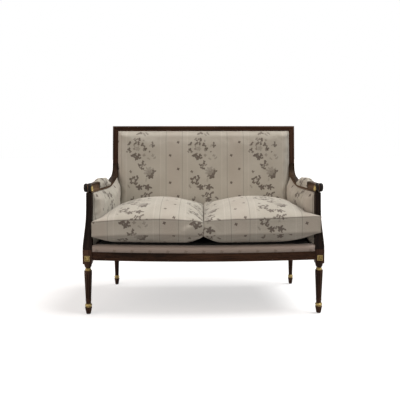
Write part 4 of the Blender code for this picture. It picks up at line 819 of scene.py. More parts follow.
MAHOGANY_DARK = (0.0120, 0.0054, 0.0030)
MAHOGANY_LIGHT = (0.080, 0.038, 0.0210)
MAHOGANY = {
    grain: make_timber_material("mahogany_" + grain, grain, MAHOGANY_DARK, MAHOGANY_LIGHT)
    for grain in "xyz"}
# A lighter copy of the mahogany for the arms: the extra lightness is painted light, standing in for light
# bounced onto their inner faces
ARM_MAHOGANY_PAINTED_LIGHT = make_timber_material("mahogany_arm_painted_light", "y", (0.048, 0.027, 0.015), (0.180, 0.108, 0.064))
DARK_MAHOGANY = make_timber_material(
    "mahogany_dark", "z", (0.004, 0.003, 0.002), (0.014, 0.009, 0.006), 2 * TIMBER_SPECULAR)
POST_MAHOGANY = make_timber_material("mahogany_post", "z", (0.006, 0.0035, 0.0025), (0.032, 0.018, 0.012))
LEG_MAHOGANY = make_timber_material("mahogany_leg", "z", (0.024, 0.011, 0.0075), (0.115, 0.060, 0.036))
BEECH = make_timber_material("beech", "x", (0.34, 0.22, 0.12), (0.58, 0.42, 0.26), BEECH_SPECULAR)


def make_metal(name, bright, dull, metallic, grit_height):
    material, tree, shader = new_material(name)
    looks = placed(tree, GILDING, Vector=object_place(tree), Bright=(*bright, 1), Dull=(*dull, 1))
    dress(tree, shader, looks["Colour"], looks["Roughness"], looks["Height"], grit_height)
    shader.inputs["Metallic"].default_value = metallic
    return material


# What each mask of the print lays over the ground, how strongly and in which colour
PRINT_LAYERS = (
    ("Band", 0.22, (0.47, 0.385, 0.325, 1)), ("Pale", 0.28, (0.66, 0.61, 0.545, 1)),
    ("Line", 0.60, (0.19, 0.155, 0.13, 1)), ("Ink", 0.92, (0.072, 0.050, 0.040, 1)))
GROUND_PATCHES = (7, 3)
NOISE_MIDDLE = (0.3, 0.7)
SLUB_SHADE = (0.12, 0.0)
SLUB_COLOUR = (0.25, 0.22, 0.19, 1)
# How strongly, and in which colour, a shadow is painted along the seams
SEAM_SHADE = 0.75
SEAM_SHADOW_COLOUR = (0.06, 0.048, 0.04, 1)
PRINT_THREADS = 1300.0
PRINT_ROUGHNESS = (0.78, 0.92)
PRINT_SHINE = {"Specular IOR Level": 0.25, "Sheen Weight": 0.15, "Sheen Roughness": 0.5}
PRINT_WEAVE_HEIGHT = 0.00015


def make_printed_cloth(name, dot_swing, dots, flowers, dark, light):
    """The greige cloth with its printed stripes, dots and flower columns."""
    material, tree, shader = new_material(name)
    cloth = cloth_place(tree)
    drawn = placed(tree, PRINT, Cloth=cloth, Dot_Swing=dot_swing, Dots=dots, Flowers=flowers)
    woven = placed(tree, WEAVE, Cloth=cloth, Threads=PRINT_THREADS)
    patches = ramped(tree, noise(tree, cloth, *GROUND_PATCHES), *NOISE_MIDDLE)
    colour = mixed(tree, patches, (*dark, 1), (*light, 1))
    for mask, strength, ink in PRINT_LAYERS:
        colour = mixed(tree, sums(tree, "MULTIPLY", drawn[mask], strength), colour, ink)
    shade = ramped(tree, woven["Slub"], *NOISE_MIDDLE, *SLUB_SHADE)
    colour = mixed(tree, shade, colour, SLUB_COLOUR)
    # The seams are darkened with a painted shadow, as strong as the seam attribute
    seam = sums(tree, "MULTIPLY", attribute(tree, "seam"), SEAM_SHADE, clamp=True)
    colour = mixed(tree, seam, colour, SEAM_SHADOW_COLOUR)
    roughness = ramped(tree, woven["Slub"], *NOISE_MIDDLE, *PRINT_ROUGHNESS)
    dress(tree, shader, colour, roughness, woven["Height"], PRINT_WEAVE_HEIGHT)
    for label, value in PRINT_SHINE.items():
        shader.inputs[label].default_value = value
    return material


PLAIN_BLEND = (0.35, 0.65)
PLAIN_ROUGHNESS = (0.80, 0.95)
PLAIN_SPECULAR = 0.2
PLAIN_WEAVE_SHARE = 0.25


def make_plain_cloth(name, threads, dark, light):
    material, tree, shader = new_material(name)
    woven = placed(tree, WEAVE, Cloth=cloth_place(tree), Threads=threads)
    colour = mixed(tree, ramped(tree, woven["Slub"], *PLAIN_BLEND), (*dark, 1), (*light, 1))
    roughness = ramped(tree, woven["Slub"], *NOISE_MIDDLE, *PLAIN_ROUGHNESS)
    dress(tree, shader, colour, roughness, woven["Height"], PLAIN_WEAVE_SHARE / threads)
    shader.inputs["Specular IOR Level"].default_value = PLAIN_SPECULAR
    return material


GILT = make_metal("gilt", (0.38, 0.285, 0.115), (0.11, 0.075, 0.031), 0.9, 0.0002)
STEEL = make_metal("steel", (0.56, 0.56, 0.57), (0.30, 0.29, 0.28), 1.0, 0.0001)
FLORAL = make_printed_cloth("floral_stripe", 0.0245, 0.95, 1.0, (0.47, 0.440, 0.372), (0.52, 0.493, 0.423))
# The border's cloth: the same print with fainter dots and no flowers, on a ground darkened as painted shade
# from the cushions above it
FLORAL_BORDER_PAINTED_SHADE = make_printed_cloth(
    "floral_stripe_border_painted_shade", 0.0, 0.40, 0.0, (0.32, 0.262, 0.225), (0.345, 0.283, 0.243))
CAMBRIC = make_plain_cloth("black_cambric", 900.0, (0.008, 0.008, 0.008), (0.022, 0.021, 0.020))
JUTE = make_plain_cloth("jute_web", 420.0, (0.26, 0.18, 0.10), (0.46, 0.35, 0.22))
ZIP_TAPE = make_plain_cloth("zip_tape", 1400.0, (0.34, 0.30, 0.25), (0.44, 0.40, 0.34))


# Show-wood
FRAME_EDGE = 0.004
FRAME_FILLET = 0.0105
FRAME_QUIRK = 0.0016
FRAME_COVE_START = 0.0122
FRAME_COVE_END = 0.0250
FRAME_COVE_DEPTH = 0.0062
FRAME_COVE_CUTS = 6
FRAME_BEAD = 0.0035
BACK_ROUND = 0.003
# Where the glaze lies in the moulding, and where its polish is worn and, along the cove and inner bead, a
# highlight is painted: (inwards, depth, reach)
FRAME_HOLLOWS = ((FRAME_COVE_START - 0.001, FRAME_QUIRK, 0.0014),)
FRAME_WEAR_AND_HIGHLIGHT = ((FRAME_FILLET - 0.001, 0, 0.002), (FRAME_COVE_END, FRAME_COVE_DEPTH - FRAME_BEAD, 0.009))


def frame_moulding():
    """The front of the back frame's moulding, from its outer edge inwards, as (inwards, depth)."""
    front = arc(FRAME_EDGE, FRAME_EDGE, FRAME_EDGE, 180, 270, 5)
    front += [(FRAME_FILLET, 0), (FRAME_FILLET + FRAME_QUIRK / 4, FRAME_QUIRK)]
    front.append((FRAME_COVE_START, FRAME_QUIRK))
    for share in even_cuts(FRAME_COVE_CUTS)[1:]:
        depth = lerp(FRAME_QUIRK, FRAME_COVE_DEPTH, math.sin(math.pi / 2 * share))
        front.append((lerp(FRAME_COVE_START, FRAME_COVE_END, share), depth))
    return front + arc(POST_SHOW_WIDTH - FRAME_BEAD, FRAME_COVE_DEPTH, FRAME_BEAD, 180, 360, 8)


def frame_section(width):
    """The whole section of a stile, or of the top rail, which is only as wide as its moulding."""
    section = frame_moulding() + [(POST_SHOW_WIDTH, POST_REBATE)]
    if width > POST_SHOW_WIDTH:
        section.append((width, POST_REBATE))
    section += arc(width - BACK_ROUND, POST_DEPTH - BACK_ROUND, BACK_ROUND, 0, 90, 3)
    return section + arc(BACK_ROUND, POST_DEPTH - BACK_ROUND, BACK_ROUND, 90, 180, 3)


def frame_tones(section):
    """For each point of the section: 1 in the moulding's hollows, -1 on its worn crests and its painted
    highlight, 0 between.
    """
    tones = []
    for a, b in section:
        tone = 0.0
        for places, value in ((FRAME_WEAR_AND_HIGHLIGHT, -1.0), (FRAME_HOLLOWS, 1.0)):
            if any(math.hypot(a - x, b - y) < reach for x, y, reach in places):
                tone = value
        tones.append(tone)
    return tones


STILE_CUTS = 4
TOP_RAIL_CUTS = 8
REAR_LEG_STEPS = 40
LEG_REAR_X = POST_OUTER_X - POST_WIDTH / 2
LEG_REAR_Y = POST_FRONT_Y + POST_DEPTH / 2
SHAFT_TOP_RADIUS = 0.0215
SHAFT_BOTTOM_RADIUS = 0.0138
REAR_SHOULDER = POST_DEPTH / 2 - 0.003
REAR_LEG_HEAD = (
    (REAR_SHOULDER, 0.004), (REAR_SHOULDER, -0.006), (REAR_SHOULDER - 0.0015, -0.009, 0.003, 45, -60, 4),
    (REAR_SHOULDER - 0.003, -0.014))
REAR_SHAFT_RISE = 0.018
REAR_SHAFT_CUTS = 8
REAR_TENON_RADIUS = 0.0084


def make_back_frame():
    """The moulded stiles, each with its turned leg, and the top rail of the back, mitred at the corners."""
    height_share = (OVERALL_HEIGHT - POST_TOP) / POST_SHOW_WIDTH
    knee = (LEAN_START - BLOCK_BOTTOM) / (OVERALL_HEIGHT - BLOCK_BOTTOM)
    section = frame_section(POST_WIDTH)
    rings = []
    for share in [0.0, *even_cuts(STILE_CUTS, knee)]:
        ring = []
        for inwards, depth in section:
            mitre = OVERALL_HEIGHT - min(inwards, POST_SHOW_WIDTH) * height_share
            z = lerp(BLOCK_BOTTOM, mitre, share)
            ring.append((POST_OUTER_X - inwards, stile_face(z) + depth, z))
        rings.append(ring)
    leg = moved(turning(rear_leg_profile(), REAR_LEG_STEPS), LEG_REAR_X, LEG_REAR_Y)
    tone = frame_tones(section) * len(rings) + [0.0] * len(leg[0])
    add_pair("moulded_stile", joined(loft(rings), leg), MAHOGANY["z"], "mahogany", "rear_post", tone=tone)
    section = frame_section(POST_SHOW_WIDTH)
    rings = []
    for share in even_cuts(TOP_RAIL_CUTS):
        ring = []
        for inwards, depth in section:
            z = OVERALL_HEIGHT - inwards * height_share
            reach = POST_OUTER_X - inwards
            ring.append((lerp(-reach, reach, share), stile_face(z) + depth, z))
        rings.append(ring)
    add_piece(
        "moulded_top_rail", loft(rings), MAHOGANY["x"], "mahogany", stands_for=["top_rail"],
        tone=frame_tones(section) * len(rings))


def shaft_radius(z, slimness=1.0):
    share = (z - ANKLE_TOP) / (SHAFT_TOP - ANKLE_TOP)
    return lerp(SHAFT_BOTTOM_RADIUS, SHAFT_TOP_RADIUS, share) * slimness


def rear_leg_profile():
    """The plain turned rear leg, from inside its post down into the ankle ring."""
    profile = profile_from(BLOCK_BOTTOM, REAR_LEG_HEAD)
    for share in even_cuts(REAR_SHAFT_CUTS):
        z = lerp(SHAFT_TOP + REAR_SHAFT_RISE, ANKLE_TOP, share)
        profile.append((shaft_radius(min(z, SHAFT_TOP), REAR_LEG_SLIMNESS), z))
    return profile + [(REAR_TENON_RADIUS, ANKLE_TOP), (REAR_TENON_RADIUS, TOE_TOP)]


FLUTES = 10
FLUTE_DEPTH = 0.0021
FLUTE_TOP = 0.220
FLUTE_BOTTOM = 0.081
FLUTE_ROUND = 0.006
FLUTE_CUTS = 12
FLUTE_END_CUTS = 5
FLUTE_STEPS = 12
FLUTE_GLAZE = 0.8
BLOCK_ROUND = 0.0022
# The front leg's mouldings: the cup under its block, its neck from top to bottom, the shoulder of its shaft,
# and the ends of the shaft as (height that gives the radius, height, more radius)
LEG_CUP = ((0.0205, 0.002), (0.0207, -0.003), (0.0193, -0.0055, 0.0018, 60, -60, 4))
NECK_RADII = (0.0196, 0.0128)
NECK_HEIGHTS = (COLLAR_TOP + 0.015, COLLAR_TOP + 0.002)
NECK_CUTS = 6
NECK_TENON_RADIUS = 0.0112
LEG_SHOULDER = (
    (NECK_TENON_RADIUS, 0.0006), (0.0180, 0.0002), (0.0190, -0.003, 0.0027, 80, -80, 5), (0.0199, -0.0072))
SHAFT_HEAD = ((SHAFT_TOP - 0.0104, SHAFT_TOP - 0.0099, 0), (SHAFT_TOP - 0.0129, SHAFT_TOP - 0.0129, 0))
SHAFT_BEAD = ((0.078, 0.078, 0), (0.0755, 0.0765, 0.0008), (0.075, 0.0735, 0.0008), (0.072, 0.0720, 0))
FRONT_TENON_RADIUS = 0.0105


def flute(radius, z, turn):
    """Cuts the flutes of the front leg, round at both ends, with flat lands between them."""
    length = min(FLUTE_TOP - z, z - FLUTE_BOTTOM)
    if length <= 0:
        return radius
    reach = 1 - max(0.0, 1 - length / FLUTE_ROUND) ** 2
    across = abs(math.sin(turn * FLUTES / 2))
    cut = max(0.0, across ** 2 - (1 - math.sqrt(reach)))
    return radius - FLUTE_DEPTH * cut


def front_leg_profile():
    """The turned part of the front leg: cup under the block, neck, shoulder, shaft."""
    profile = profile_from(BLOCK_BOTTOM, LEG_CUP)
    for share in even_cuts(NECK_CUTS):
        turn = math.pi / 2 * share
        profile.append((lerp(*NECK_RADII, 1 - math.cos(turn)), lerp(*NECK_HEIGHTS, math.sin(turn))))
    profile += [(NECK_TENON_RADIUS, COLLAR_TOP)] + profile_from(SHAFT_TOP, LEG_SHOULDER)
    heights = [FLUTE_TOP - FLUTE_ROUND * share for share in even_cuts(FLUTE_END_CUTS)]
    heights += even_cuts(FLUTE_CUTS, FLUTE_TOP - FLUTE_ROUND, FLUTE_BOTTOM + FLUTE_ROUND)[1:]
    heights += [FLUTE_BOTTOM + FLUTE_ROUND * (1 - share) for share in even_cuts(FLUTE_END_CUTS)[1:]]
    for taken_at, z, more in (*SHAFT_HEAD, *((z, z, 0) for z in heights), *SHAFT_BEAD):
        profile.append((shaft_radius(taken_at) + more, z))
    profile += [(shaft_radius(ANKLE_TOP), ANKLE_TOP)]
    return profile + [(FRONT_TENON_RADIUS, ANKLE_TOP), (FRONT_TENON_RADIUS, TOE_TOP)]


def make_front_legs():
    """The front legs: a square block, and a fluted turning with glaze in its flutes."""
    steps = FLUTES * FLUTE_STEPS
    low = (LEG_X - BLOCK_SIZE / 2, 0, BLOCK_BOTTOM)
    high = (LEG_X + BLOCK_SIZE / 2, BLOCK_SIZE, BLOCK_TOP)
    block = rounded_box(low, high, BLOCK_ROUND)
    profile = front_leg_profile()
    leg = moved(turning(profile, steps, flute), LEG_X, LEG_Y)
    tone = [0.0] * len(block[0])
    for radius, z in profile:
        for i in range(steps):
            turn = 2 * math.pi * i / steps
            tone.append(min(1.0, (radius - flute(radius, z, turn)) / FLUTE_DEPTH * FLUTE_GLAZE))
    add_pair("fluted_leg", joined(block, leg), LEG_MAHOGANY, "mahogany", "front_leg", tone=tone)


RING_STEPS = 48
COLLAR_RING = (
    (0.0138, -CLEARANCE), (0.0150, -0.0012), (0.0150, -0.0026), (0.0138, -0.0040), (0.0135, -0.0060),
    (0.0140, -0.0096, 0.0028, 75, -60, 6), (0.0150, -0.0130), (0.0168, -0.0136))
COLLAR_BOTTOM = SHAFT_TOP + 0.0007
COLLAR_BORE = 0.0115
ANKLE_RING = (
    (0.0146, -CLEARANCE), (0.0158, -0.0010), (0.0158, -0.0024), (0.0148, -0.0032),
    (0.0142, -0.0086, 0.0050, 85, -85, 10), (0.0150, -0.0142), (0.0170, -0.0150))
ANKLE_BOTTOM = TOE_TOP + 0.0006
ANKLE_BORE = 0.0108
TOE_HEAD = ((0.0150, 0), (0.0160, -0.0036, 0.0034, 80, -70, 6), (0.0172, -0.0074), (0.0176, -0.0086))
TOE_FOOT_RADII = (0.0130, 0.0116, 0.0060)
TOE_FOOT_ROUND = 0.0016
TOE_CUTS = 5


def gilt_ring(top, table, bottom, bore):
    """The profile of a gilt ring as a closed loop of (radius, height), for a hollow turning."""
    outside = profile_from(top, table)
    return outside + [(outside[-1][0], bottom), (bore, bottom), (bore, outside[0][1])]


def slimmed(profile, slimness):
    return [(radius * slimness, z) for radius, z in profile]


def toe_profile():
    bottom = GLIDE_THICKNESS + CLEARANCE
    slim, foot, dish = TOE_FOOT_RADII
    profile = profile_from(TOE_TOP, TOE_HEAD)
    wide, start = profile[-1]
    for share in even_cuts(TOE_CUTS)[1:]:
        profile.append((lerp(wide, slim, share), lerp(start, bottom + TOE_FOOT_ROUND, share)))
    return profile + [(foot, bottom), (dish, bottom)]


def make_feet():
    ankle = gilt_ring(ANKLE_TOP, ANKLE_RING, ANKLE_BOTTOM, ANKLE_BORE)
    collar = gilt_ring(COLLAR_TOP, COLLAR_RING, COLLAR_BOTTOM, COLLAR_BORE)
    ends = (("front", LEG_X, LEG_Y, 1.0), ("rear", LEG_REAR_X, LEG_REAR_Y, REAR_LEG_SLIMNESS))
    for end, x, y, slimness in ends:
        for side_name, side in SIDES:
            name = end + "_" + side_name
            ring = moved(turning(slimmed(ankle, slimness), RING_STEPS, closed=True), x, y)
            add_piece("gilt_ankle_" + name, ring, GILT, "gilt", side, stands_for=["ankle_ring_" + name])
            toe = moved(turning(slimmed(toe_profile(), slimness), RING_STEPS), x, y)
            add_piece("turned_toe_" + name, toe, LEG_MAHOGANY, "mahogany", side, stands_for=["toe_" + name])
            if end == "front":
                ring = moved(turning(collar, RING_STEPS, closed=True), x, y)
                add_piece(
                    "gilt_collar_" + side_name, ring, GILT, "gilt", side,
                    stands_for=["collar_ring_" + side_name])


RAIL_BEAD = 0.0030
RAIL_FASCIA = 0.0022
RAIL_REED = 0.0020
RAIL_REED_DROP = 0.001
RAIL_CUTS = 48
# The quirks beside the beads and beside the reed: depth, and heights where they start and end
BEAD_QUIRK = (0.0006, 0.0004, 0.0012)
REED_QUIRK = (0.0010, 0.0003, 0.001)
RAIL_HOLLOW = RAIL_FASCIA + 0.0006
RAIL_CREST = RAIL_FASCIA - 0.001
RAIL_WEAR = -0.7


def rail_section():
    """The seat rail's moulding in (depth, height): a bead, a fascia with a reed along it, and a top bead."""
    reed = (RAIL_BOTTOM + RAIL_SHOW_TOP) / 2 - RAIL_REED_DROP
    low = RAIL_BOTTOM + 2 * RAIL_BEAD
    top = RAIL_SHOW_TOP - 2 * RAIL_BEAD
    sunk, start, end = BEAD_QUIRK
    reed_sunk, reed_start, reed_end = REED_QUIRK
    under = reed - RAIL_REED
    over = reed + RAIL_REED
    section = [(RAIL_THICKNESS, RAIL_BOTTOM)] + arc(RAIL_BEAD, RAIL_BOTTOM + RAIL_BEAD, RAIL_BEAD, 270, 90, 8)
    section += [(RAIL_BEAD + sunk, low + start), (RAIL_FASCIA, low + end)]
    section += [(RAIL_FASCIA, under - reed_end), (RAIL_FASCIA + reed_sunk, under - reed_start)]
    section += arc(RAIL_FASCIA, reed, RAIL_REED, 250, 110, 6)
    section += [(RAIL_FASCIA + reed_sunk, over + reed_start), (RAIL_FASCIA, over + reed_end)]
    section += [(RAIL_FASCIA, top - end), (RAIL_BEAD + sunk, top - start)]
    section += arc(RAIL_BEAD, RAIL_SHOW_TOP - RAIL_BEAD, RAIL_BEAD, 270, 90, 8)
    return section + [(RAIL_REBATE, RAIL_SHOW_TOP), (RAIL_REBATE, RAIL_TOP), (RAIL_THICKNESS, RAIL_TOP)]


def rail_tones(section):
    """Glaze in the quirks and wear on the crests of the moulding, for each point of its section."""
    tones = []
    for depth, _ in section:
        if depth > RAIL_REBATE - CLEARANCE:
            tones.append(0.0)
        elif depth > RAIL_HOLLOW:
            tones.append(1.0)
        else:
            tones.append(RAIL_WEAR if depth < RAIL_CREST else 0.0)
    return tones


def make_rails():
    section = rail_section()
    tones = rail_tones(section)
    reach = BLOCK_INNER_X - CLEARANCE
    rings = []
    for x in even_cuts(RAIL_CUTS, -reach, reach):
        rings.append([(x, rail_front(x) + depth, z) for depth, z in section])
    add_piece(
        "moulded_front_rail", loft(rings), MAHOGANY["x"], "mahogany", stands_for=["front_rail"],
        tone=tones * len(rings))
    rings = []
    for y in (BLOCK_SIZE + CLEARANCE, POST_FRONT_Y - CLEARANCE):
        rings.append([(rail_outer(y) - depth, y, z) for depth, z in section])
    add_pair("moulded_side_rail", loft(rings), MAHOGANY["y"], "mahogany", "side_rail", tone=tones * 2)


POST_CORNER = 0.004
POST_FILLET = 0.0058
POST_HOLLOW = 0.0024
POST_HOLLOW_START = 0.008
POST_HOLLOW_SPAN = 0.012
POST_CORNER_TONE = -0.8
POST_GLAZE = 1.5
# Half of a post's face: how far from its corner, in metres and as a share of the half, then how much of the
# hollow's depth, and tone
POST_FACE = (
    (POST_CORNER, 0, 0, -0.6), (POST_FILLET, 0, 0, -0.2), (POST_FILLET + 0.0008, 0, 0.7, 1),
    (0, 0.7, 0.92, 0.3))
ARM_POST_CUTS = (0.0, 0.012, 0.03, 0.045, *even_cuts(36, 0.06, 0.94), 0.955, 0.97, 0.985, 1.0)


def moulded_square(width, depth, relief):
    """A square section from its front, with rounded corners and a shallow hollow along each face."""
    corners = ((-width / 2, 0), (width / 2, 0), (width / 2, depth), (-width / 2, depth))
    edge = POST_CORNER * (1 - math.sqrt(0.5))
    points = []
    tones = []
    for n, (x, y) in enumerate(corners):
        next_x, next_y = corners[(n + 1) % 4]
        length = math.hypot(next_x - x, next_y - y)
        along_x, along_y = (next_x - x) / length, (next_y - y) / length
        points.append((x + edge * (along_x - along_y), y + edge * (along_y + along_x)))
        tones.append(POST_CORNER_TONE)
        half = length / 2
        stops = [(start + share * half, sunk, tone) for start, share, sunk, tone in POST_FACE]
        stops += [(half, 1, 0)] + [(length - start, sunk, tone) for start, sunk, tone in reversed(stops)]
        for start, sunk, tone in stops:
            inset = sunk * relief
            points.append((x + along_x * start - along_y * inset, y + along_y * start + along_x * inset))
            tones.append(tone * min(1.0, relief / POST_HOLLOW * POST_GLAZE))
    return points, tones


def make_arm_posts():
    """The swept posts under the arms, square and hollowed along their faces."""
    height = ARM_UNDERSIDE - BLOCK_TOP
    rings = []
    tone = []
    for w in ARM_POST_CUTS:
        slim = lerp(BLOCK_SIZE, ARM_POST_TOP_WIDTH, smoothstep(w / ARM_POST_SLIMMING_SHARE))
        relief = POST_HOLLOW * swell(edge_distance(w, height) - POST_HOLLOW_START, POST_HOLLOW_SPAN)
        section, tones = moulded_square(slim, arm_post_rear(w) - arm_post_front(w), relief)
        ring = []
        for x, y in section:
            y += arm_post_front(w)
            z = lerp(BLOCK_TOP + CLEARANCE, arm_under(y) - CLEARANCE, w)
            ring.append((lerp(LEG_X, ARM_FRONT_X, w) + x, y, z))
        rings.append(ring)
        tone += tones
    add_pair("swept_arm_post", loft(rings), POST_MAHOGANY, "mahogany", "arm_post", tone=tone)


VOLUTE_SETBACK = 0.0012
VOLUTE_CUTS = 26
ARM_UNDER_CUTS = 44
ARM_SWEEP_CUTS = 14
ARM_TOP_CUTS = 40
ARM_TOP_POINTS = ARM_SWEEP_CUTS + ARM_TOP_CUTS
# The arm's top is darkened as painted shade, through the same tone as the glaze
ARM_TOP_PAINTED_SHADE = 0.75
# How much room the arm leaves beside the scroll, as a share of its outer half: from where and over how far
ARM_NECK_SHARE = -0.15
ARM_NECK_START = 0.004
ARM_NECK_SPAN = 0.020
# Across the arm from its inner side: place, how far inside the outline, tone
ARM_LEVELS = (
    (-0.0146, 0.0076, 0.0), (-0.0148, 0.0058, 0.9), (-0.0158, 0.0050, 0.2), (-0.0165, 0.0036, -0.7),
    (-0.0165, 0.0020, -0.8), (-0.0157, 0.0007, -0.5), (-0.0142, 0.0, -0.2), (-0.0118, 0.0004, 0.6),
    (-0.0108, 0.0004, 0.5), (-0.0098, 0.0, 0))
ARM_LEVELS += tuple((-across, inset, tone) for across, inset, tone in reversed(ARM_LEVELS))


def arm_outline():
    """The side view of the arm in (y, z): its round front, the underside, the sweep up the stile, the top."""
    front_radius = VOLUTE_RADIUS - VOLUTE_SETBACK
    start = math.asin((ARM_UNDERSIDE + ARM_FRONT_THICKNESS - VOLUTE_CENTRE_Z) / VOLUTE_RADIUS)
    outline = arc(VOLUTE_CENTRE_Y, VOLUTE_CENTRE_Z, front_radius, math.degrees(start), 270, VOLUTE_CUTS)
    for share in even_cuts(ARM_UNDER_CUTS)[1:-1]:
        y = lerp(VOLUTE_CENTRE_Y, ARM_END_Y, share)
        outline.append((y, arm_under(y)))
    last = arm_under(ARM_END_Y)
    outline.append((stile_face(last) - CLEARANCE, last))
    sweep_start = ARM_END_Y - ARM_SWEEP_DEPTH
    for share in even_cuts(ARM_SWEEP_CUTS):
        turn = math.pi / 2 * (1 - share)
        z = arm_top(sweep_start) + ARM_SWEEP_HEIGHT * (1 - math.cos(turn))
        outline.append((stile_face(z) - CLEARANCE - ARM_SWEEP_DEPTH * (1 - math.sin(turn)), z))
    for share in even_cuts(ARM_TOP_CUTS)[1:-1]:
        y = lerp(sweep_start, outline[0][0], share)
        outline.append((y, arm_top(y)))
    return outline


def inset_outline(outline, distance):
    """Moves each point of an outline inwards, square to its neighbours."""
    moved_points = []
    for i, (a, b) in enumerate(outline):
        before = outline[i - 1]
        after = outline[(i + 1) % len(outline)]
        along_a = after[0] - before[0]
        along_b = after[1] - before[1]
        length = math.hypot(along_a, along_b)
        moved_points.append((a - along_b / length * distance, b + along_a / length * distance))
    return moved_points


def make_arm_rails():
    """Each arm: beads along both edges, a flat field between them, and a slimmer front for the scroll."""
    outline = arm_outline()
    rings = []
    tone = []
    for across, inset, level_tone in ARM_LEVELS:
        ring = []
        for y, z in inset_outline(outline, inset):
            clear = smoothstep((y - VOLUTE_CENTRE_Y - ARM_NECK_START) / ARM_NECK_SPAN)
            room = lerp(ARM_NECK_SHARE, 1.0, clear) if across > 0 else 1.0
            ring.append((arm_centre(y) + across * room, y, z))
        rings.append(ring)
        tone += [level_tone] * (len(ring) - ARM_TOP_POINTS)
        # The top points get the painted shade
        tone += [max(level_tone, ARM_TOP_PAINTED_SHADE)] * ARM_TOP_POINTS
    # The arms wear the lighter mahogany copy, with its painted bounce light
    add_pair("scrolled_arm", loft(rings), ARM_MAHOGANY_PAINTED_LIGHT, "mahogany", "arm_rail", tone=tone)


SCROLL_INNER_X = 0.5968
SCROLL_OUTER_X = 0.6352
SCROLL_STEPS = 64
# The scroll's turning: (radius, along)
SCROLL_BULGE = (
    (0.0192, 0.0), (0.0211, 0.0006), (0.0222, 0.0022), (0.0231, 0.0056), (0.0235, 0.0092), (0.0231, 0.0130),
    (0.0219, 0.0162), (0.0202, 0.0179), (0.0186, 0.0185), (0.0186, 0.0200))
SCROLL_KNOB = (
    (0.0200, 0.0207), (0.0217, 0.0220), (0.0228, 0.0243), (0.0233, 0.0276), (0.0231, 0.0312),
    (0.0221, 0.0346), (0.0203, 0.0370), (0.0190, 0.0376), (0.0176, 0.0370), (0.0118, 0.0372),
    (0.0060, 0.0380))
SCROLL_HOLLOW_RADIUS = 0.0188
SCROLL_HOLLOW_START = 0.017
SCROLL_WEAR = -0.3
SPIRAL_CUTS = 70
SPIRAL_TURNS = 1.75
SPIRAL_START_DEG = 100
SPIRAL_RADII = (0.0172, 0.0035)
SPIRAL_SUNK = 0.0006
SPIRAL_BEAD = 0.0014
SPIRAL_WEAR = -0.6


def make_scrolls():
    """The turned scroll across the front of each arm, with a carved spiral on its end."""
    profile = SCROLL_BULGE + SCROLL_KNOB
    scroll = turned_to_x(turning(profile, SCROLL_STEPS))
    scroll = moved(scroll, SCROLL_INNER_X, VOLUTE_CENTRE_Y, VOLUTE_CENTRE_Z)
    scroll_tone = []
    for radius, along in profile:
        hollow = radius < SCROLL_HOLLOW_RADIUS and along > SCROLL_HOLLOW_START
        scroll_tone += [1.0 if hollow else SCROLL_WEAR] * SCROLL_STEPS
    path = []
    for share in even_cuts(SPIRAL_CUTS):
        turn = 2 * math.pi * SPIRAL_TURNS * share + math.radians(SPIRAL_START_DEG)
        radius = lerp(*SPIRAL_RADII, share)
        y = VOLUTE_CENTRE_Y + radius * math.cos(turn)
        path.append((SCROLL_OUTER_X - SPIRAL_SUNK, y, VOLUTE_CENTRE_Z + radius * math.sin(turn)))
    spiral = tube(path, SPIRAL_BEAD)
    for side_name, side in SIDES:
        add_piece(
            "turned_scroll_" + side_name, scroll, DARK_MAHOGANY, "mahogany", side,
            stands_for=["scroll_boss_" + side_name], tone=scroll_tone)
        add_piece(
            "scroll_spiral_" + side_name, spiral, DARK_MAHOGANY, "mahogany", side,
            tone=[SPIRAL_WEAR] * len(spiral[0]))


# A rosette's relief, as shares of its height and radius
PETAL_ROUNDNESS = 0.7
VEIN_LOW = 0.82
VEIN_SHARPNESS = 6
PETAL_END = 0.98
BLOOM_ROUNDNESS = 0.6
BLOOM_HEIGHT = 0.85
BOSS_RADIUS = 0.2
ROSETTE_GROUND = 0.12


def petal_relief(petals, twist):
    """The height of a rosette's carved petals at a place (a, b), where its edge is at 1."""
    def height(a, b):
        radius = math.hypot(a, b)
        turn = math.atan2(b, a) + twist * radius
        petal = abs(math.cos(turn * petals / 2)) ** PETAL_ROUNDNESS
        ridge = min(1.0, abs(math.sin(turn * petals / 2)) * VEIN_SHARPNESS)
        vein = VEIN_LOW + (1 - VEIN_LOW) * ridge
        bloom = petal * vein * math.sin(math.pi * min(1.0, radius / PETAL_END)) ** BLOOM_ROUNDNESS
        boss = math.sqrt(max(0.0, 1 - (radius / BOSS_RADIUS) ** 2))
        return max(ROSETTE_GROUND, BLOOM_HEIGHT * bloom, boss)
    return height


SQUARE_ROSETTE_HALF = 0.0145
SQUARE_ROSETTE_RISE = 0.0045
SQUARE_ROSETTE_CELLS = 36
SQUARE_PETALS = (4, 0.9)
SQUARE_FIELD = 0.80
SQUARE_RIM_HEIGHTS = (0.62, 0.25)
SQUARE_EDGE = 0.97
SQUARE_EDGE_DROP = 0.6
SQUARE_GLAZE = 1.7


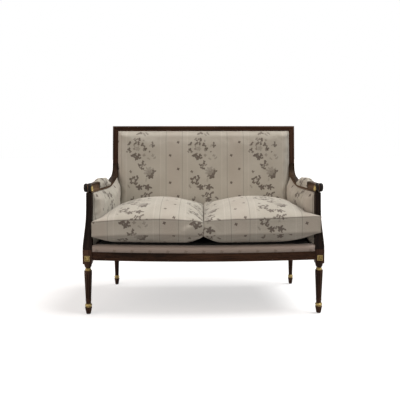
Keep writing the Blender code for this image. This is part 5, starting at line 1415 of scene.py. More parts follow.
def make_block_rosettes():
    """The square gilt rosettes on the front of the leg blocks: four turned petals in a raised frame."""
    half = SQUARE_ROSETTE_HALF
    relief = petal_relief(*SQUARE_PETALS)
    low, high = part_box("block_rosette_right")
    centre_z = (low.z + high.z) / 2
    cuts = even_cuts(SQUARE_ROSETTE_CELLS)
    corners, quads, _ = unit_shell((cuts, [0, 1], cuts))
    points = []
    tone = []
    for u, v, w in corners:
        a = 2 * u - 1
        b = 2 * w - 1
        rim = max(abs(a), abs(b))
        if rim > SQUARE_FIELD:
            base, rise = SQUARE_RIM_HEIGHTS
            height = base + rise * math.sin(math.pi * min(1.0, (1 - rim) / (1 - SQUARE_FIELD)))
        else:
            height = relief(a / SQUARE_FIELD, b / SQUARE_FIELD)
        if rim > SQUARE_EDGE:
            height *= SQUARE_EDGE_DROP
        thickness = SQUARE_ROSETTE_RISE * height if v < 0.5 else 0.0
        points.append((LEG_X + a * half, -CLEARANCE - thickness, centre_z + b * half))
        tone.append(max(0.0, 1 - height * SQUARE_GLAZE))
    add_pair(
        "gilt_square_rosette", (points, quads), GILT, "gilt", "block_rosette", smooth_deg=FINE_SMOOTH_DEG,
        tone=tone)


ROUND_ROSETTE_DROP = 0.006
ROUND_ROSETTE_RISE = 0.0090
ROUND_ROSETTE_RADIUS = 0.0155
ROUND_ROSETTE_STEPS = 64
ROUND_PETALS = (8, 0.0)
ROUND_ROSETTE_GAP = 0.0002
ROUND_ROSETTE_SHARES = (1.0, 0.985, 0.95, 0.90, 0.86, *even_cuts(9, 0.80, 0.04))
ROUND_FIELD = 0.84
ROUND_FIELD_EDGE = 0.82
ROUND_RIM_HEIGHTS = (0.35, 0.5)
ROUND_RIM_WIDTH = 0.14
ROUND_GLAZE = 1.8
ROUND_BACK_TONE = 0.6


def make_arm_rosettes():
    """The round gilt rosettes inside the scrolls."""
    centre_z = VOLUTE_CENTRE_Z - ROUND_ROSETTE_DROP
    relief = petal_relief(*ROUND_PETALS)
    inner = SCROLL_INNER_X - ROUND_ROSETTE_GAP
    rings = []
    tone = [ROUND_BACK_TONE] * ROUND_ROSETTE_STEPS
    for share in ROUND_ROSETTE_SHARES:
        ring = []
        for i in range(ROUND_ROSETTE_STEPS):
            turn = 2 * math.pi * i / ROUND_ROSETTE_STEPS
            if share > ROUND_FIELD:
                base, rise = ROUND_RIM_HEIGHTS
                height = base + rise * math.sin(math.pi * min(1.0, (1 - share) / ROUND_RIM_WIDTH))
            else:
                inside = share / ROUND_FIELD_EDGE
                height = relief(inside * math.cos(turn), inside * math.sin(turn))
            reach = ROUND_ROSETTE_RADIUS * share
            y = VOLUTE_CENTRE_Y + reach * math.cos(turn)
            ring.append((inner - ROUND_ROSETTE_RISE * height, y, centre_z + reach * math.sin(turn)))
            tone.append(max(0.0, 1 - height * ROUND_GLAZE))
        rings.append(ring)
    back = [(inner, y, z) for _, y, z in rings[0]]
    add_pair(
        "gilt_round_rosette", loft([back] + rings), GILT, "gilt", "arm_rosette", smooth_deg=FINE_SMOOTH_DEG,
        tone=tone)


# Upholstery
def set_cloth(mesh, places):
    """Stores where each corner of each face lies on its cloth, in metres."""
    layer = mesh.uv_layers.new(name="cloth")
    layer.data.foreach_set("uv", [number for place in places for number in place])


def add_upholstery(
        name, cuts, place, cloth, side=1, body="frame", stands_for=(), material=FLORAL):
    """A stuffed piece from a cut unit cube.

    place(u, v, w) puts it in space, and cloth(face, x, y, z) lays the cloth on it.
    """
    corners, quads, faces = unit_shell(cuts)
    points = [place(*corner) for corner in corners]
    if side < 0:
        quads = [quad[::-1] for quad in quads]
    mesh = bpy.data.meshes.new(name)
    mesh.from_pydata([(side * x, y + FRONT_Y, z) for x, y, z in points], [], quads)
    flat = []
    for quad, face in zip(quads, faces):
        for x, y, z in [points[corner] for corner in quad]:
            flat.append(cloth(face, side * x, y, z))
    set_cloth(mesh, flat)
    mesh.shade_smooth()
    mesh.materials.append(material)
    piece = put(name, mesh)
    if stands_for:
        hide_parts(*stands_for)
    piece["body"] = body
    return piece, corners


def close_cuts(cells, length, near, rest):
    """Cuts of a length as shares of it: near ones, in metres from both ends, and even ones from rest on."""
    near = [0.0] + [distance / length for distance in near]
    return near + even_cuts(cells, rest / length, 1 - rest / length) + [1 - share for share in reversed(near)]


STUFFING_FRAMES = 20
STUFFING_SETTINGS = {
    "quality": 4, "mass": 0.3, "tension_stiffness": 12, "compression_stiffness": 12, "shear_stiffness": 4,
    "bending_stiffness": 0.4, "use_pressure": True, "shrink_min": -0.03}
LEAST_LENGTH = 1e-9


def stuff(jobs):
    """Fills the closed cloths with air together, then keeps each point within its cap of where it was cut.

    A job is (piece, pressure, cap, held points, limit). limit(x, y, z, first_x) keeps a point clear of its
    neighbours.
    """
    scene = bpy.context.scene
    started = []
    for piece, pressure, cap, held, limit in jobs:
        before = np.empty((len(piece.data.vertices), 3), np.float32)
        piece.data.vertices.foreach_get("co", before.ravel())
        started.append(before)
        if held:
            group = piece.vertex_groups.new(name="tacked")
            group.add(held, 1.0, "REPLACE")
        modifier = piece.modifiers.new("stuffing", "CLOTH")
        settings = modifier.settings
        settings.effector_weights.gravity = 0
        settings.uniform_pressure_force = pressure
        for label, value in STUFFING_SETTINGS.items():
            setattr(settings, label, value)
        if held:
            settings.vertex_group_mass = "tacked"
        modifier.collision_settings.use_collision = False
        modifier.point_cache.frame_start = 1
        modifier.point_cache.frame_end = STUFFING_FRAMES
    for number in range(1, STUFFING_FRAMES + 1):
        scene.frame_set(number)
    depsgraph = bpy.context.evaluated_depsgraph_get()
    for (piece, _, cap, held, limit), before in zip(jobs, started):
        after = np.empty_like(before)
        evaluated = piece.evaluated_get(depsgraph)
        evaluated.data.vertices.foreach_get("co", after.ravel())
        moved_by = after - before
        length = np.linalg.norm(moved_by, axis=1, keepdims=True)
        moved_by *= np.minimum(1.0, cap / np.maximum(length, LEAST_LENGTH))
        after = before + moved_by
        if limit:
            after = np.array([limit(*point, first[0]) for point, first in zip(after, before)], np.float32)
        piece.modifiers.clear()
        piece.vertex_groups.clear()
        piece.data.vertices.foreach_set("co", after.ravel())
        piece.data.update()
    scene.frame_set(1)


def sew_seams(piece, seam, depth):
    """Pulls the seam points in along their normals, and stores how strongly a shadow is painted along them.
    """
    normals = np.empty((len(piece.data.vertices), 3), np.float32)
    points = np.empty_like(normals)
    piece.data.vertices.foreach_get("normal", normals.ravel())
    piece.data.vertices.foreach_get("co", points.ravel())
    points -= normals * seam[:, None] * depth
    piece.data.vertices.foreach_set("co", points.ravel())
    piece.data.attributes.new("seam", "FLOAT", "POINT").data.foreach_set("value", seam)


def finish_upholstery(piece, fill):
    smooth = piece.modifiers.new("smoothing", "SUBSURF")
    smooth.levels = 1
    smooth.render_levels = 1
    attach(piece, piece["body"])


CUSHION_BACK = back_face(CUSHION_LOW_SEAM) - CUSHION_BACK_EASE
FRONT_REACH = FRONT_BOW + CUSHION_PROUD - RAIL_SETBACK
BOXING_SPAN = 0.35


def cushion_outer(side, y):
    """How far from the middle the cushion's outer side is. It spreads in front of the arm post."""
    ear = 1 - smoothstep((y - CUSHION_EAR_START) / (CUSHION_EAR_END - CUSHION_EAR_START))
    return arm_panel_face(y) - CUSHION_SIDE_EASE + CUSHION_EARS[side] * ear


def cushion_point(side, u, v, w):
    """A point of the cushion: u from the middle of the settee outwards, v to the back, w from low to top."""
    rough_x = lerp(CUSHION_GAP / 2, cushion_outer(side, 0), u)
    y = lerp(rail_front(rough_x) - CUSHION_PROUD, CUSHION_BACK, v)
    outer = cushion_outer(side, y)
    x = lerp(CUSHION_GAP / 2, outer, u)
    lift = 1 - ((u - CUSHION_SEAM_PEAK) / (1 - CUSHION_SEAM_PEAK)) ** 2
    lifted = max(0.0, (u - CUSHION_LIFT_START) / (1 - CUSHION_LIFT_START)) ** 2
    outer_lift = CUSHION_OUTER_LIFTS[side] * lifted
    inner_drop = CUSHION_INNER_DROPS[side] * (1 - swell(u * outer, CUSHION_DROP_SPAN))
    low = CUSHION_LOW_SEAM + CUSHION_LOW_SEAM_LIFT * lift + CUSHION_LOW_LIFT * outer_lift
    high = CUSHION_TOP_SEAM + CUSHION_TOP_SEAM_LIFT * lift + outer_lift - inner_drop
    across = edge_distance(u, outer)
    deep = edge_distance(v, CUSHION_BACK + FRONT_REACH)
    z = lerp(low, high, w)
    if w <= 0:
        inner_belly = swell(u * outer, CUSHION_BELLY_SPAN)
        outer_belly = swell((1 - u) * outer, CUSHION_OUTER_BELLY_SPANS[side])
        belly = (inner_belly * outer_belly) ** CUSHION_FULLNESS
        belly *= swell(deep, CUSHION_BELLY_FRONT_SPAN) ** CUSHION_BELLY_FULLNESS
        depth = v * (CUSHION_BACK + FRONT_REACH)
        front_rise = CUSHION_FRONT_RISE * (1 - swell(depth, CUSHION_FRONT_RISE_SPAN))
        z = lerp(low, DECK_TOP + CLEARANCE + front_rise, belly)
    elif w >= 1:
        fullness = CUSHION_INNER_FULLNESS if u < 0.5 else CUSHION_FULLNESS
        dome = swell(across, CUSHION_CROWN_SPAN) ** fullness
        z += CUSHION_CROWN * (dome * swell(deep, CUSHION_CROWN_SPAN) ** CUSHION_FULLNESS)
    drawn_in = CUSHION_DRAWN_IN * swell(edge_distance(w, 1), BOXING_SPAN)
    if u >= 1:
        x -= drawn_in
    if v <= 0:
        y += drawn_in
    elif v >= 1:
        y -= drawn_in
    return x, y, z


# A cushion's width, depth and boxing height near enough for its cuts, and where they lie beside its seams
CUSHION_SIZE = (0.57, 0.58, 0.08)
CUSHION_CELLS = (62, 60, 8)
SEAM_REACH = 0.0035
SEAM_CUTS = (SEAM_REACH,)
FINE_SEAM_CUTS = (0.0005, 0.0014, SEAM_REACH, 0.0065)
SEAM_DEPTH = 0.0028
SEAM_FADE = 0.22
INNER_SEAM_STRENGTH = 0.35
LOW_SEAM_STRENGTH = 0.5
JUST_OVER = 1.05
CUSHION_REACH_ROOM = 0.002
CUSHION_BACK_ROOM = 0.0015
TOP_SEAM_CLOTH = 0.415
BOXING_CLOTH = {"left": 0.148, "right": 0.308}
BELLY_CLOTH = {"left": 0.228, "right": 0.388}
# Air pressure, and how far it may move a point
CUSHION_STUFFING = (3.5, 0.005)
PAD_STUFFING = (1.5, 0.004)
ARM_PAD_STUFFING = (1.5, 0.003)
TACKED_REACH = 0.004
CUSHION_FILL = 0.7
BACK_FILL = 0.75
ARM_PANEL_FILL = 0.7
ARM_PAD_FILL = 0.75
DECK_FILL = 0.6
UP = (2, 1)
DOWN = (2, -1)


def make_cushions(jobs):
    """The two loose boxed cushions, each with the strength of its seam at each point."""
    near = (SEAM_CUTS, FINE_SEAM_CUTS, SEAM_CUTS)
    cuts = [close_cuts(*sizes, 3 * SEAM_REACH) for sizes in zip(CUSHION_CELLS, CUSHION_SIZE, near)]
    width, depth, height = CUSHION_SIZE
    made = []
    for side_name, side in SIDES:
        def place(u, v, w):
            return cushion_point(side, u, v, w)

        def cloth(face, x, y, z):
            front = y + FRONT_REACH
            if face == UP:
                return x, TOP_SEAM_CLOTH - front
            if face == DOWN:
                return x, BELLY_CLOTH[side_name] + front + CUSHION_LOW_SEAM + CUSHION_LOW_SEAM_LIFT - z
            down = BOXING_CLOTH[side_name] + CUSHION_TOP_SEAM - z
            return (x, down) if face[0] == 1 else (x - side * front, down)
        piece, corners = add_upholstery(
            "boxed_cushion_" + side_name, cuts, place, cloth, side, "cushion_" + side_name,
            ["seat_cushion_" + side_name])
        seam = np.zeros(len(corners), np.float32)
        for i, (u, v, w) in enumerate(corners):
            rim = min(edge_distance(u, width), edge_distance(v, depth))
            away = max(rim, edge_distance(w, height))
            beside = rim == 0 or edge_distance(w, 1) == 0
            if beside and away <= SEAM_REACH * JUST_OVER:
                strength = INNER_SEAM_STRENGTH if u == 0 else LOW_SEAM_STRENGTH if w == 0 else 1.0
                seam[i] = lerp(1.0, SEAM_FADE, away / SEAM_REACH) * strength

        def limit(x, y, z, first_x, side=side):
            reach = cushion_outer(side, y - FRONT_Y) + CUSHION_REACH_ROOM
            x = side * min(reach, max(CUSHION_GAP / 2, side * x))
            if abs(first_x) < CUSHION_GAP:
                x = first_x
            deepest = back_face(max(z, LEAN_START)) - CUSHION_BACK_ROOM + FRONT_Y
            return x, min(y, deepest), max(z, DECK_TOP + CLEARANCE)
        jobs.append((piece, *CUSHION_STUFFING, None, limit))
        made.append((piece, seam))
    return made


def near_edge(share, length):
    return edge_distance(share, length) < TACKED_REACH


BACK_CELLS = (84, 44)
BACK_NEAR = (0.003, 0.008, 0.015)
BACK_REST = 0.024


def make_back_pad(jobs):
    half = POST_OUTER_X - POST_SHOW_WIDTH - PAD_FIT
    top = POST_TOP - PAD_FIT
    height = top - BACK_PAD_BOTTOM

    def place(u, v, w):
        z = lerp(BACK_PAD_BOTTOM, top, w)
        fullness = swell(edge_distance(u, 2 * half), BACK_SPAN) * swell(edge_distance(w, height), BACK_SPAN)
        face = stile_face(z) + PAD_EDGE - BACK_BULGE * fullness
        return lerp(-half, half, u), lerp(face, stile_face(z) + PAD_RECESS, v), z

    def cloth(face, x, y, z):
        return x, (POST_TOP - z) * math.hypot(1, LEAN)
    columns = close_cuts(BACK_CELLS[0], 2 * half, BACK_NEAR, BACK_REST)
    rows = close_cuts(BACK_CELLS[1], height, BACK_NEAR, BACK_REST)
    piece, corners = add_upholstery(
        "stuffed_back", (columns, [0, 1], rows), place, cloth, stands_for=["back_pad"])
    held = [
        i for i, (u, v, w) in enumerate(corners)
        if v > 0 or near_edge(u, 2 * half) or near_edge(w, height)]
    jobs.append((piece, *PAD_STUFFING, held, None))
    return piece


def arm_opening(v, w):
    """A point of the opening between arm post, arm, rear post and side rail, as (y, z)."""
    z = lerp(DECK_BOTTOM, ARM_UNDERSIDE - ARM_FALL / 2, w)
    share = arm_post_share(z)
    y = lerp(arm_post_rear(share) + ARM_PANEL_FIT, stile_face(z) - ARM_PANEL_FIT, v)
    return y, lerp(DECK_BOTTOM, arm_under(y) - ARM_PANEL_FIT, w)


ARM_FLOWERS_Y = 0.315
ARM_FLOWERS_DOWN = 0.292
ARM_PANEL_CELLS = (42, 26)
ARM_PANEL_NEAR = (0.003, 0.009)
ARM_PANEL_REST = 0.018
OUTER_PANEL_CELLS = (30, 18)
OUTER_PANEL_DOME = 0.0022
OUTER_PANEL_SPAN = 0.05
OUTER_PANEL_SETBACK = 0.003
OUTER_PANEL_THICKNESS = 0.004


def make_arm_panels(jobs):
    length = ARM_END_Y - ARM_POST_TOP_Y
    height = ARM_UNDERSIDE - DECK_BOTTOM
    made = []

    def inner_pad(u, v, w):
        y, z = arm_opening(v, w)
        across = swell(edge_distance(v, length), ARM_PANEL_SPAN)
        fullness = across * swell(edge_distance(w, height), ARM_PANEL_SPAN)
        face = arm_inner(y) + PAD_EDGE - ARM_PANEL_BULGE * fullness
        return lerp(face, arm_inner(y) + PAD_RECESS, u), y, z

    def outer_panel(u, v, w):
        y, z = arm_opening(v, w)
        z = z if w > 0 else RAIL_TOP + CLEARANCE
        across = swell(edge_distance(v, length), OUTER_PANEL_SPAN)
        dome = OUTER_PANEL_DOME * across * swell(edge_distance(w, height), OUTER_PANEL_SPAN)
        outer = arm_inner(y) + ARM_WIDTH - OUTER_PANEL_SETBACK
        return lerp(outer - OUTER_PANEL_THICKNESS, outer + dome, u), y, z

    def cloth(face, x, y, z):
        return COLUMN_X + (y - ARM_FLOWERS_Y), ARM_FLOWERS_DOWN + ARM_UNDERSIDE - z
    along = close_cuts(ARM_PANEL_CELLS[0], length, ARM_PANEL_NEAR, ARM_PANEL_REST)
    up = close_cuts(ARM_PANEL_CELLS[1], height, ARM_PANEL_NEAR, ARM_PANEL_REST)
    outer_cuts = ([0, 1], even_cuts(OUTER_PANEL_CELLS[0]), even_cuts(OUTER_PANEL_CELLS[1]))
    for side_name, side in SIDES:
        pad, corners = add_upholstery(
            "stuffed_arm_panel_" + side_name, ([0, 1], along, up), inner_pad, cloth, side,
            stands_for=["arm_inner_pad_" + side_name])
        held = [
            i for i, (u, v, w) in enumerate(corners)
            if u > 0 or near_edge(v, length) or near_edge(w, height)]
        jobs.append((pad, *PAD_STUFFING, held, None))
        made.append((pad, ARM_PANEL_FILL))
        outer, _ = add_upholstery(
            "outer_arm_cloth_" + side_name, outer_cuts, outer_panel, cloth, side,
            stands_for=["arm_outer_panel_" + side_name])
        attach(outer, "frame")
    return made


ARM_PAD_SIDE_CELLS = 6
ARM_PAD_TOP_CELLS = 14
ARM_PAD_LONG_CELLS = 30
ARM_PAD_NEAR = 0.004
ARM_PAD_TACKED_SHARE = 0.03
ARM_PAD_TACKED_REACH = 1.1 * ARM_PAD_NEAR
ARM_PAD_SIDE_SHARE = 0.7
ARM_PAD_SIDE_FALL = 0.5
ARM_PAD_CLOTH = 0.41


def make_arm_pads(jobs):
    """The stuffed pads drawn over the arms."""
    shoulder = ARM_PAD_SHOULDER
    full = ARM_PAD_SIDE_SHARE * shoulder
    half = ARM_WIDTH / 2 + PAD_FIT
    made = []

    def over_arm(u, drape):
        """A point of the arm's section, across and up from its top, and how far round it that is."""
        if u < shoulder:
            return -half, -drape * (1 - u / shoulder), 0.0
        if u > 1 - shoulder:
            return half, -drape * (1 - (1 - u) / shoulder), 1.0
        across = (u - shoulder) / (1 - 2 * shoulder)
        return lerp(-half, half, across), 0.0, across

    def place(u, v, w):
        y = ARM_PAD_START + v * ARM_PAD_LENGTH
        fullness = swell(edge_distance(v, ARM_PAD_LENGTH), ARM_PAD_END_SPAN)
        across, up, around = over_arm(u, arm_top(y) - arm_under(y) - ARM_PAD_REVEAL)
        edge = edge_distance(u, 1)
        side_swell = lerp(PAD_EDGE, ARM_PAD_SIDE, fullness) * swell(edge, full)
        side_swell *= 1 - ARM_PAD_SIDE_FALL * swell(edge - full, shoulder - full)
        levelling = ARM_PAD_LEVELLING * (arm_top(ARM_PAD_START) - arm_top(y))
        crown = PAD_EDGE + (ARM_PAD_CROWN + levelling) * fullness * math.sin(math.pi * around)
        across += w * (side_swell + PAD_EDGE / 2) * (2 * around - 1)
        up += w * crown + PAD_FIT
        return arm_centre(y) + across, y, arm_top(y) + up

    def cloth(face, x, y, z):
        across = abs(x) - arm_centre(y)
        drop = max(0.0, arm_top(y) - z)
        return COLUMN_X + across + math.copysign(drop, across), ARM_PAD_CLOTH - (y - ARM_PAD_START)
    around = even_cuts(ARM_PAD_SIDE_CELLS, 0, shoulder)
    around += even_cuts(ARM_PAD_TOP_CELLS, shoulder, 1 - shoulder)[1:]
    around += even_cuts(ARM_PAD_SIDE_CELLS, 1 - shoulder, 1)[1:]
    along = close_cuts(ARM_PAD_LONG_CELLS, ARM_PAD_LENGTH, (ARM_PAD_NEAR,), 3 * ARM_PAD_NEAR)
    for side_name, side in SIDES:
        pad, corners = add_upholstery(
            "stuffed_arm_pad_" + side_name, (around, along, [0, 1]), place, cloth, side,
            stands_for=["arm_pad_" + side_name])
        held = [
            i for i, (u, v, w) in enumerate(corners)
            if w < 1 or edge_distance(u, 1) < ARM_PAD_TACKED_SHARE
            or edge_distance(v, ARM_PAD_LENGTH) < ARM_PAD_TACKED_REACH]
        jobs.append((pad, *ARM_PAD_STUFFING, held, None))
        made.append((pad, ARM_PAD_FILL))
    return made


def lay_cloth(piece, cloth):
    """Gives a piece cloth coordinates in metres from cloth(x, y, z)."""
    mesh = piece.data
    set_cloth(mesh, [cloth(*mesh.vertices[loop.vertex_index].co) for loop in mesh.loops])


BORDER_DOTS_Z = 0.348
BORDER_DOT_STEP = 0.094
BORDER_BULGE = 0.0006
BORDER_ROUND_CUTS = 10
BORDER_CELLS = 72
BORDER_NEAR = (0.003, 0.007)
BORDER_REST = 0.012
BORDER_END_SPAN = 0.010
BORDER_END_SETBACK = 0.002


def make_border():
    """The stuffed border along the front rail."""
    front = -BORDER_PROUD
    foot = RAIL_SHOW_TOP + CLEARANCE
    inside = RAIL_REBATE - CLEARANCE
    soft = BORDER_SOFTNESS
    section = [(inside, foot)] + arc(front + soft, foot + soft, soft, 270, 180, 5)
    for share in even_cuts(4)[1:-1]:
        section.append((front - BORDER_BULGE, lerp(foot + soft, BORDER_FRONT_TOP, share)))
    for share in even_cuts(BORDER_ROUND_CUTS):
        turn = math.pi / 2 * share
        depth = front + (BORDER_ROUND - front) * (1 - math.cos(turn))
        section.append((depth, lerp(BORDER_FRONT_TOP, BORDER_TOP, math.sin(turn))))
    section += [(BORDER_DEPTH, BORDER_TOP), (BORDER_DEPTH, DECK_BOTTOM), (inside, DECK_BOTTOM)]
    reach = BLOCK_INNER_X - PAD_FIT
    rings = []
    for share in close_cuts(BORDER_CELLS, 1, BORDER_NEAR, BORDER_REST):
        x = lerp(-reach, reach, share)
        end = swell(edge_distance(share, 2 * reach), BORDER_END_SPAN)
        ring = []
        for depth, z in section:
            ring.append((x, rail_front(x) + lerp(max(depth, BORDER_END_SETBACK), depth, end), z))
        rings.append(ring)
    piece = add_piece(
        "stuffed_border", loft(rings), FLORAL_BORDER_PAINTED_SHADE, "floral_stripe", stands_for=["front_border"],
        smooth_deg=CLOTH_SMOOTH_DEG)

    def cloth(x, y, z):
        return COLUMN_X + DOT_BAND + z - BORDER_DOTS_Z, x * DOT_STEP / BORDER_DOT_STEP + DOT_START
    lay_cloth(piece, cloth)


DECK_CELLS = 60
DECK_NEAR = (0.004, 0.009)
DECK_REST = 0.016
DECK_ROWS = (*even_cuts(26, 0, 0.96), 0.975, 0.99, 1.0)
DECK_CLOTH = 0.2


def make_seat_deck():
    back = back_face(RAIL_TOP) - PAD_FIT
    length = back + FRONT_BOW

    def place(u, v, w):
        rough_x = lerp(-BLOCK_INNER_X, BLOCK_INNER_X, u)
        y = lerp(rail_front(rough_x) + BORDER_DEPTH + PAD_FIT, back, v)
        reach = arm_panel_face(y) - PAD_FIT
        edge = min(edge_distance(u, 2 * reach), edge_distance(v, length) if v > 0.5 else length)
        top = DECK_TOP - DECK_ROUND * (1 - swell(edge, DECK_ROUND))
        return lerp(-reach, reach, u), y, lerp(DECK_BOTTOM, top, w)

    def cloth(face, x, y, z):
        return x, DECK_CLOTH - y
    columns = close_cuts(DECK_CELLS, 1, DECK_NEAR, DECK_REST)
    # The deck wears the black cambric, a dark sheet that stands in for the shade under the cushions
    piece, _ = add_upholstery(
        "stuffed_deck", (columns, DECK_ROWS, [0, 1]), place, cloth, stands_for=["seat_deck"],
        material=CAMBRIC)
    return piece


OUTER_BACK_CELLS = (52, 30)
OUTER_BACK_DOME = 0.0024
OUTER_BACK_SPAN = 0.06
OUTER_BACK_INSIDE = 0.0078
OUTER_BACK_SETBACK = 0.003


def make_outer_back():
    """The cloth over the back of the settee, between the posts."""
    reach = POST_OUTER_X - POST_WIDTH - PAD_FIT
    bottom = RAIL_TOP + CLEARANCE
    top = POST_TOP - PAD_FIT

    def place(u, v, w):
        z = lerp(bottom, top, w)
        across = swell(edge_distance(u, 2 * reach), OUTER_BACK_SPAN)
        dome = OUTER_BACK_DOME * across * swell(edge_distance(w, top - bottom), OUTER_BACK_SPAN)
        outside = POST_DEPTH - OUTER_BACK_SETBACK + CLEARANCE + dome
        depth = lerp(POST_DEPTH - OUTER_BACK_INSIDE, outside, v)
        return lerp(-reach, reach, u), stile_face(z) + depth, z

    def cloth(face, x, y, z):
        return -x, POST_TOP - z
    columns = even_cuts(OUTER_BACK_CELLS[0])
    rows = sorted(even_cuts(OUTER_BACK_CELLS[1]) + [(LEAN_START - bottom) / (top - bottom)])
    piece, _ = add_upholstery(
        "outer_back_cloth", (columns, [0, 1], rows), place, cloth, stands_for=["outer_back_panel"])
    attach(piece, "frame")


COVER_CUTS = (40, 22)
COVER_SAG = 0.006
COVER_TAUT = (0.03, 0.05)
COVER_SAG_SPANS = (0.20, 0.18)


def make_dust_cover():
    """The black cloth tacked under the rails, sagging a little between them."""
    low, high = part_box("dust_cover")
    size = [b - a for a, b in zip(low, high)]
    bm = bmesh.new()
    bm.from_mesh(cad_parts["dust_cover"].data)
    bmesh.ops.remove_doubles(bm, verts=bm.verts, dist=CLEARANCE / 3)
    for axis, count in enumerate(COVER_CUTS):
        for share in even_cuts(count)[1:-1]:
            normal = Vector((0, 0, 0))
            normal[axis] = 1
            spot = Vector((0, 0, 0))
            spot[axis] = lerp(low[axis], high[axis], share)
            everything = bm.verts[:] + bm.edges[:] + bm.faces[:]
            bmesh.ops.bisect_plane(bm, geom=everything, plane_co=spot, plane_no=normal)
    for vert in bm.verts:
        sag = COVER_SAG
        for axis, (taut, span) in enumerate(zip(COVER_TAUT, COVER_SAG_SPANS)):
            away = edge_distance((vert.co[axis] - low[axis]) / size[axis], size[axis])
            sag *= swell(away - taut, span)
        vert.co.z -= sag
        vert.co.y -= FRONT_Y
    points = [tuple(vert.co) for vert in bm.verts]
    bm.verts.index_update()
    faces = [tuple(vert.index for vert in face.verts) for face in bm.faces]
    bm.free()
    piece = add_piece(
        "cambric_cover", (points, faces), CAMBRIC, "black_cambric", stands_for=["dust_cover"],
        smooth_deg=CLOTH_SMOOTH_DEG)
    lay_cloth(piece, lambda x, y, z: (x, y))


WEB_WIDTH = 0.050
WEB_RISE = 0.0009
WEB_HALF_THICKNESS = 0.0006
WEB_LEAST_STEPS = 8
WEB_STEPS_PER_CROSSING = 4
HIGHEST_SEAT_WEB = 0.35
SEAT_WEBS_ACROSS = even_cuts(7, 0.06, 0.94)
SEAT_WEBS_DEEP = even_cuts(4, 0.10, 0.90)
BACK_WEBS_ACROSS = even_cuts(6, 0.07, 0.93)
BACK_WEBS_UP = even_cuts(3, 0.10, 0.90)
SEAT_WEB_SETBACK = 0.012
SEAT_WEB_REACH = 0.020
BACK_WEB_SETBACK = 0.001


def web_strap(start, end, crossings, over):
    """A woven strap from start to end, over and under the straps that cross it at the given shares."""
    start = Vector(start)
    end = Vector(end)
    along = (end - start).normalized()
    upright = abs(along.z) > 0.5 or abs(start.z) > HIGHEST_SEAT_WEB
    up = Vector((0, -1, 0)) if upright else Vector((0, 0, 1))
    across = along.cross(up).normalized() * WEB_WIDTH / 2
    rings = []
    steps = max(WEB_LEAST_STEPS, WEB_STEPS_PER_CROSSING * len(crossings))
    for share in even_cuts(steps):
        wave = 0.0
        for n, crossing in enumerate(crossings):
            near = max(0.0, 1 - abs(share - crossing) * len(crossings))
            wave += (1 if (n + over) % 2 else -1) * math.sin(math.pi / 2 * near)
        middle = start.lerp(end, share) + up * wave * WEB_RISE
        half = up * WEB_HALF_THICKNESS
        rings.append([tuple(middle + a * across + b * half) for a, b in ((-1, -1), (1, -1), (1, 1), (-1, 1))])
    return loft(rings)


def make_webbing():
    """The interlaced jute straps under the deck and behind the stuffed back."""
    low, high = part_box("seat_webbing")
    middle = (low.z + high.z) / 2
    straps = []
    for n, share in enumerate(SEAT_WEBS_ACROSS):
        x = lerp(low.x, high.x, share)
        front = (x, rail_front(x) + RAIL_THICKNESS - SEAT_WEB_SETBACK, middle)
        straps.append(web_strap(front, (x, high.y - FRONT_Y, middle), SEAT_WEBS_DEEP, n % 2))
    for n, share in enumerate(SEAT_WEBS_DEEP):
        y = lerp(low.y, high.y, share) - FRONT_Y
        between_posts = y >= POST_FRONT_Y - WEB_WIDTH
        reach = POST_OUTER_X - POST_WIDTH - PAD_FIT if between_posts else arm_inner(y) + SEAT_WEB_REACH
        straps.append(web_strap((-reach, y, middle), (reach, y, middle), SEAT_WEBS_ACROSS, (n + 1) % 2))
    add_webs("seat_straps", straps, "seat_webbing")

    def face(z):
        return stile_face(z) + PAD_RECESS + CLEARANCE + BACK_WEB_SETBACK
    low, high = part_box("back_webbing")
    straps = []
    for n, share in enumerate(BACK_WEBS_ACROSS):
        x = lerp(low.x, high.x, share)
        straps.append(web_strap((x, face(low.z), low.z), (x, face(high.z), high.z), BACK_WEBS_UP, n % 2))
    for n, share in enumerate(BACK_WEBS_UP):
        z = lerp(low.z, high.z, share)
        straps.append(web_strap((low.x, face(z), z), (high.x, face(z), z), BACK_WEBS_ACROSS, (n + 1) % 2))
    add_webs("back_straps", straps, "back_webbing")


def add_webs(name, straps, node):
    piece = add_piece(name, joined(*straps), JUTE, "jute_web", stands_for=[node], smooth_deg=FINE_SMOOTH_DEG)
    lay_cloth(piece, lambda x, y, z: (x, y + z))


# The zip's tapes in section as (depth over its back, height), and its teeth and slider
ZIP_TAPE_SECTION = ((-0.0018, -0.006), (-0.0008, -0.006), (-0.0004, 0), (-0.0008, 0.006), (-0.0018, 0.006))
ZIP_CUTS = 40
ZIP_TEETH = 150
ZIP_TEETH_MARGIN = 0.004
ZIP_TEETH_STAGGER = 0.0006
TOOTH_LOW = (-0.0009, -0.0012, -0.0014)
TOOTH_HIGH = (0.0009, 0, 0.0014)
TOOTH_ROUND = 0.0003
ZIP_SLIDER_START = 0.010
# Each box of the slider: low corner, high corner, rounding
ZIP_SLIDER = (
    ((-0.005, -0.001, -0.0035), (0.005, 0.0012, 0.0035), 0.0008),
    ((0.004, 0.0002, -0.002), (0.022, 0.0012, 0.002), 0.0005))


def box_at(place, low, high, radius, steps):
    """A rounded box whose corners are given from a place."""
    corners = [[a + b for a, b in zip(place, corner)] for corner in (low, high)]
    return rounded_box(*corners, radius, steps)


